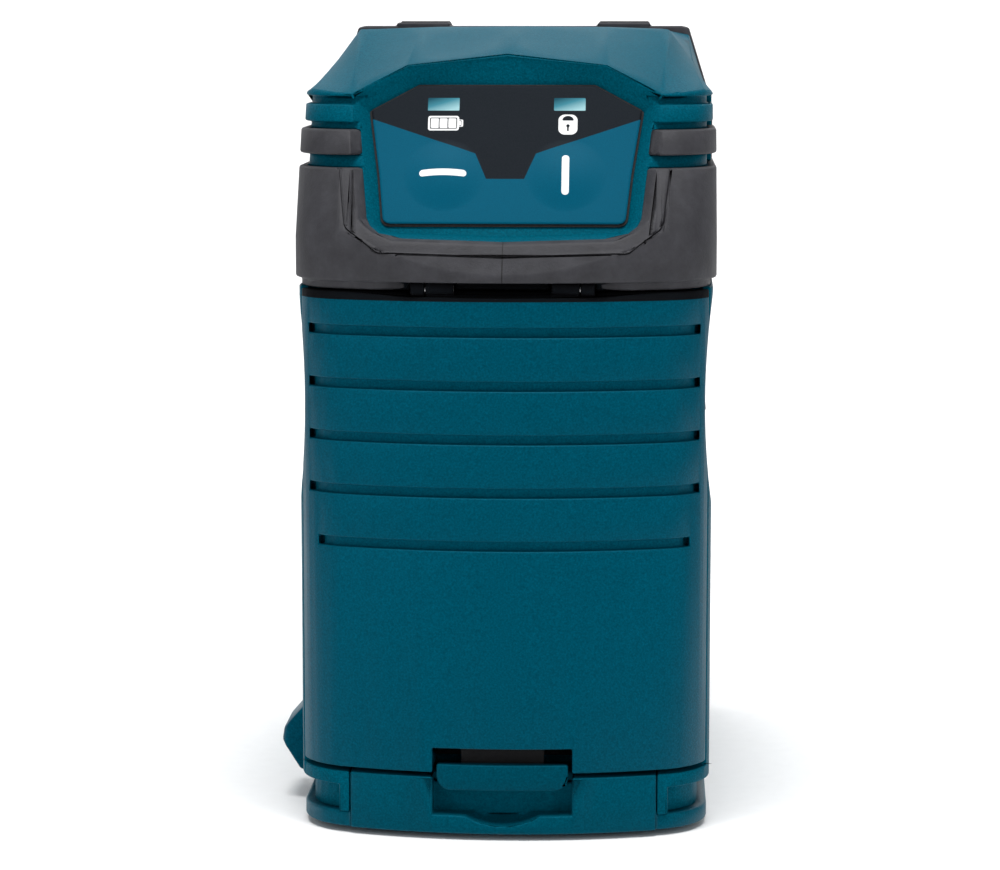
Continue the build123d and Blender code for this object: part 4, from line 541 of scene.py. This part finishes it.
screw_low, screw_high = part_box("base_screws")
SHANK_SIDE = 2.2 * MM
screw_spots = [
    (x, y)
    for x in (screw_low.x + SHANK_SIDE, screw_high.x - SHANK_SIDE)
    for y in (screw_low.y + SHANK_SIDE, screw_high.y - SHANK_SIDE)
]
cross_head_screws("base_cross_screws", "base_screws", screw_spots)

# ------------------------------------------------------------------ lock slider
# A bevelled teal thumb piece on the left flank; the plunger that it lifts and the switches
# inside are black acetal.
softened("lock_slider", 0.35, "slider_teal", moulded("slider_plastic", linear(0, 66, 84)))
finish_of(plain_black("acetal_black", 0.02, 0.4), "lock_plunger", "power_switch", "tact_switches")


# ------------------------------------------------------------------ keypad
# A printed membrane glued into the leaning panel: satin teal and black ink under the film,
# white marks, two tinted light windows with painted light and shade, and two embossed domes
# over the keys. The sheet is made in two halves, one dome over each key.
LEAN = math.radians(31.0)
FILM = 0.6 * MM
UP = np.array([0.0, math.sin(LEAN), math.cos(LEAN)])
OUT = np.array([0.0, -math.cos(LEAN), math.sin(LEAN)])
film_low, film_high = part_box("keypad_overlay")
FILM_FOOT = np.array([0.0, film_low.y, film_low.z + FILM * math.sin(LEAN)])
FILM_TALL = (film_high.z - FILM_FOOT[2]) / math.cos(LEAN) / MM
EDGE_UP = [0.0, 8.0, 18.45, FILM_TALL]
EDGE_HALF = [17.4, 18.22, 19.72, 12.85]
# on the membrane, in mm: across from its middle, up from its foot
KEY_ACROSS = 8.85
KEY_UP = 7.85
DOME_R = 5.9
DOME_HIGH = 0.55
LEVEL_BAR = (-9.0, KEY_UP + 0.1)  # middles of the white marks
UPRIGHT_BAR = (8.72, KEY_UP - 0.1)
BATTERY_MARK = (-9.15, 16.4)
PADLOCK_MARK = (8.97, 16.2)
LIGHT_ACROSS = 9.2
LIGHT_UP = 19.55
TONGUE_LOW = 7.25  # lower edge of the black field's tongue


def film_half(up):
    """Half the membrane's width at a height, both in mm; the bottom corners are rounded."""
    corner = np.clip(1.0 - up, 0, 1)
    return np.interp(up, EDGE_UP, EDGE_HALF) - (1 - np.sqrt(1 - corner**2))


def dome(across, up):
    """Height in mm of the two embossed domes: the square of one minus the squared radius."""
    near = ((np.abs(across) - KEY_ACROSS) ** 2 + (up - KEY_UP) ** 2) / DOME_R**2
    return DOME_HIGH * np.clip(1 - near, 0, None) ** 1.6


def block(across, up, x, u, half_x, half_u, round_r=0.0):
    """Signed distance in mm to a rectangle with rounded corners, below zero inside."""
    dx = np.abs(across - x) - half_x + round_r
    du = np.abs(up - u) - half_u + round_r
    outside = np.hypot(np.maximum(dx, 0), np.maximum(du, 0))
    return outside + np.minimum(np.maximum(dx, du), 0) - round_r


def white_ink(x, u):
    """Distance to the white marks: line bars on the keys, a battery with three cells and a
    padlock with its shackle and keyhole left black."""
    arch = 0.16 * (1 - ((x - LEVEL_BAR[0]) / 3.4) ** 2)
    level_bar = block(x, u - arch, *LEVEL_BAR, 3.4, 0.53, 0.5)
    upright_bar = block(x, u, *UPRIGHT_BAR, 0.53, 3.2, 0.5)
    bars = np.minimum(level_bar, upright_bar)
    bx, bu = x - BATTERY_MARK[0], u - BATTERY_MARK[1]
    case = np.minimum(block(bx, bu, 0, 0, 2.25, 1.2, 0.35), block(bx, bu, 2.4, 0, 0.45, 0.58, 0.15))
    frame_line = np.abs(block(bx, bu, 0, 0, 1.92, 0.86, 0.1)) - 0.08
    nub_line = np.maximum(np.abs(block(bx, bu, 2.2, 0, 0.38, 0.4)) - 0.06, 2.25 - bx)
    bars_between = np.abs(np.abs(bx) - 0.64) - 0.08
    dividers = np.maximum(bars_between, block(bx, bu, 0, 0, 1.92, 0.86))
    battery = np.maximum(case, -np.minimum(np.minimum(frame_line, nub_line), dividers))
    px, pu = x - PADLOCK_MARK[0], u - PADLOCK_MARK[1]
    body = block(px, pu, 0, 0, 1.38, 1.65, 0.95)
    shackle = np.maximum(np.hypot(px, (pu - 0.75) * 1.2) - 0.82, 0.65 - pu)
    key_top = np.hypot(px, pu + 0.2) - 0.26
    keyhole = np.minimum(key_top, block(px, pu, 0, -0.6, 0.13, 0.5))
    padlock = np.maximum(body, -np.minimum(shackle, keyhole))
    return np.minimum(np.minimum(bars, battery), padlock)


def black_ink(x, u):
    """Distance to the black field: everything above a line that falls to a short tongue."""
    edge = np.interp(np.abs(x), [0.0, 2.75, 4.4, 19.9], [TONGUE_LOW, TONGUE_LOW, 11.4, 17.2])
    return np.where(np.abs(x) < 2.75, edge - u, (edge - u) * np.where(np.abs(x) < 4.4, 0.37, 0.93))


def windows(x, u):
    """Distance to the two light windows."""
    return block(np.abs(x), u, LIGHT_ACROSS, LIGHT_UP, 2.3, 1.05, 0.1)


def film_print():
    """The membrane's finish: inks chosen by the distances stored on its points, and painted light on the two
    windows, darker at the top left and paler towards the lower right.
    """
    material, shader, add, wire = shading("printed_film")
    place = add("TexCoord").outputs["Object"]
    skin = add("TexNoise", {"Vector": place, "Scale": 7000.0, "Detail": 2.0})

    def inside(name):
        """One where the stored distance is below zero, over a very narrow edge."""
        stored = add("Attribute", attribute_name=name)
        return add(
            "MapRange", {"Value": stored.outputs["Fac"], "From Min": 0.03, "From Max": -0.03}
        ).outputs["Result"]

    teal = ramp_of(add, skin.outputs["Fac"], (0.3, linear(0, 74, 97)), (0.7, linear(0, 82, 107)))
    black = ramp_of(add, skin.outputs["Fac"], (0.3, linear(20, 20, 24)), (0.7, linear(28, 28, 32)))
    # Painted light on the windows: darker at the top left, paler towards the lower right.
    painted_window_light = ramp_of(
        add, add("Attribute", attribute_name="painted_window_light").outputs["Fac"], (0.0, linear(22, 70, 84)),
        (0.45, linear(60, 125, 140)), (1.0, linear(150, 190, 196)),
    )
    tint = teal
    for mark, ink in (("black_ink", black), ("windows", painted_window_light), ("white_ink", (0.9, 0.9, 0.9, 1))):
        over = {"Fac": inside(mark), "Color1": tint, "Color2": ink}
        tint = add("MixRGB", over).outputs["Color"]
    wire(tint, shader, "Base Color")
    gloss = add("MapRange", {"Value": skin.outputs["Fac"], "To Min": 0.42, "To Max": 0.55})
    wire(gloss.outputs["Result"], shader, "Roughness")
    bump = add("Bump", {"Height": skin.outputs["Fac"], "Distance": 0.00001, "Strength": 0.6})
    wire(bump.outputs["Normal"], shader, "Normal")
    shader.inputs["Specular IOR Level"].default_value = 0.06
    shader.inputs["Specular Tint"].default_value = (0.45, 0.8, 1.0, 1.0)
    return material


printed_film = film_print()
KEYS = (
    (-1, "horizontal_button", "horizontal_line_button"),
    (1, "vertical_button", "vertical_line_button"),
)
for side, key_body, key_node in KEYS:
    share, up = np.meshgrid(np.linspace(0, 1, 165), np.linspace(0, FILM_TALL, 190), indexing="ij")
    across = side * share * film_half(up)
    from_edge = np.minimum(np.minimum(up, FILM_TALL - up), film_half(up) * (1 - share))
    rounded = 0.12 * (1 - np.clip(from_edge / 0.25, 0, 1)) ** 2
    height = (dome(across, up) - rounded) * MM
    flat = FILM_FOOT + across[..., None] * MM * np.array([1.0, 0, 0]) + up[..., None] * MM * UP
    points = flat + height[..., None] * OUT
    if side > 0:
        points, across, up = points[::-1], across[::-1], up[::-1]
    name = "keypad_film_" + ("left" if side < 0 else "right")
    mesh = grid_mesh(name, points)
    for attribute, rule in (("white_ink", white_ink), ("black_ink", black_ink), ("windows", windows)):
        stored = mesh.attributes.new(attribute, "FLOAT", "POINT")
        stored.data.foreach_set("value", rule(across, up).ravel().astype(np.float32))
    # Painted light on the windows: darker at the top left, paler towards the lower right.
    aside = (np.abs(across) - LIGHT_ACROSS) * np.sign(across)
    painted_window_light = np.clip(0.55 + aside * 0.12 - (up - LIGHT_UP) * 0.35, 0, 1)
    mesh.attributes.new("painted_window_light", "FLOAT", "POINT").data.foreach_set("value", painted_window_light.ravel().astype(np.float32))
    film = placed(name, mesh, printed_film)
    if np.dot(np.array(mesh.polygons[0].normal), OUT) < 0:
        mesh.flip_normals()
    corner_edges = np.empty(len(mesh.loops), int)
    mesh.loops.foreach_get("edge_index", corner_edges)
    rim = np.bincount(corner_edges, minlength=len(mesh.edges)) == 1
    mesh.attributes.new("sharp_edge", "BOOLEAN", "EDGE").data.foreach_set("value", rim)
    wall = film.modifiers.new("sheet", "SOLIDIFY")
    wall.thickness = 0.4 * MM
    wall.offset = -1.0
    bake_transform(film)
    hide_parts("keypad_overlay")
    finish_of(printed_film, key_node)


def film_gap_shade():
    """A flat black strip round the membrane, painted shade on the floor of the gap round the film: at
    each point of its outline four corners of a rectangle, offset along the outline's outward normal and off
    the panel's floor."""
    ups = np.concatenate([np.linspace(0, 0.2, 12), np.linspace(0.25, 1, 12), np.linspace(1.2, FILM_TALL, 60)])
    right = np.stack([film_half(ups), ups], axis=-1)
    low_row = np.stack([np.linspace(-film_half(0.0), film_half(0.0), 40)[1:-1], np.zeros(38)], axis=-1)
    top_half = EDGE_HALF[-1]
    top_row = np.stack([np.linspace(top_half, -top_half, 40)[1:-1], np.full(38, FILM_TALL)], axis=-1)
    outline = np.concatenate([low_row, right, top_row, (right * [-1, 1])[::-1]])
    ahead = np.roll(outline, -1, axis=0) - np.roll(outline, 1, axis=0)
    normal = np.stack([ahead[:, 1], -ahead[:, 0]], axis=-1)
    normal /= np.linalg.norm(normal, axis=1, keepdims=True)
    reach = np.array([-0.3, 0.3, 0.3, -0.3])
    lift = np.array([-0.55, -0.55, -0.35, -0.35])
    flat = outline[:, None, :] + normal[:, None, :] * reach[None, :, None]
    points = FILM_FOOT + flat[..., :1] * MM * np.array([1.0, 0, 0]) + flat[..., 1:] * MM * UP
    points = points + (lift * MM)[None, :, None] * OUT
    points = np.concatenate([points, points[:1]])
    mesh = sealed(grid_mesh("keypad_gap_shade", points, smooth=False, loops=True))
    item = placed("keypad_gap_shade", mesh, seal_foam_and_gap_shade)
    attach(item, "casing")


film_gap_shade()
light_pipe = moulded("light_pipe", linear(150, 190, 195), 0.3, depth=0.01)
finish_of(light_pipe, "battery_light_lens", "lock_light_lens", "panel_leds")


# ------------------------------------------------------------------ boards
# Glass-epoxy boards with green solder mask over copper tracks; black chips and a coil.
def solder_mask():
    """Green lacquer; tracks are a brick pattern's joints, slightly raised and paler."""
    material, shader, add, wire = shading("solder_mask")
    place = add("TexCoord").outputs["Object"]
    turned = add("Mapping", {"Vector": place, "Rotation": (math.pi / 2, 0, 0)})
    tracks = add("TexBrick", {"Vector": turned.outputs["Vector"], "Scale": 260.0, "Mortar Size": 0.06})
    tint = ramp_of(add, tracks.outputs["Fac"], (0.0, (0.010, 0.085, 0.030, 1)), (1.0, (0.03, 0.16, 0.06, 1)))
    wire(tint, shader, "Base Color")
    bump = add("Bump", {"Height": tracks.outputs["Fac"], "Distance": 0.00003})
    wire(bump.outputs["Normal"], shader, "Normal")
    shader.inputs["Roughness"].default_value = 0.3
    return material


finish_of(solder_mask(), "main_board", "panel_board")
finish_of(plain_black("chip_black", 0.02, 0.5), "board_parts")


# ------------------------------------------------------------------ window and lenses
# A flat clear window bent over the brow, and two glass rods that spread the beams to lines.
def clear_glass(name, tint, rough):
    """Clear glass or acrylic with faint smears in its gloss."""
    material, shader, add, wire = shading(name)
    smear = add("TexNoise", {"Vector": add("TexCoord").outputs["Object"], "Scale": 120.0, "Detail": 3.0})
    gloss = add("MapRange", {"Value": smear.outputs["Fac"], "To Min": rough, "To Max": rough + 0.05})
    wire(gloss.outputs["Result"], shader, "Roughness")
    shader.inputs["Base Color"].default_value = tint
    shader.inputs["Transmission Weight"].default_value = 1.0
    shader.inputs["IOR"].default_value = 1.49
    return material


finish_of(clear_glass("window_glass", (0.93, 0.97, 0.96, 1), 0.02), "laser_window")
finish_of(clear_glass("rod_glass", (0.97, 0.99, 1.0, 1), 0.01), "horizontal_line_lens", "vertical_line_lens")
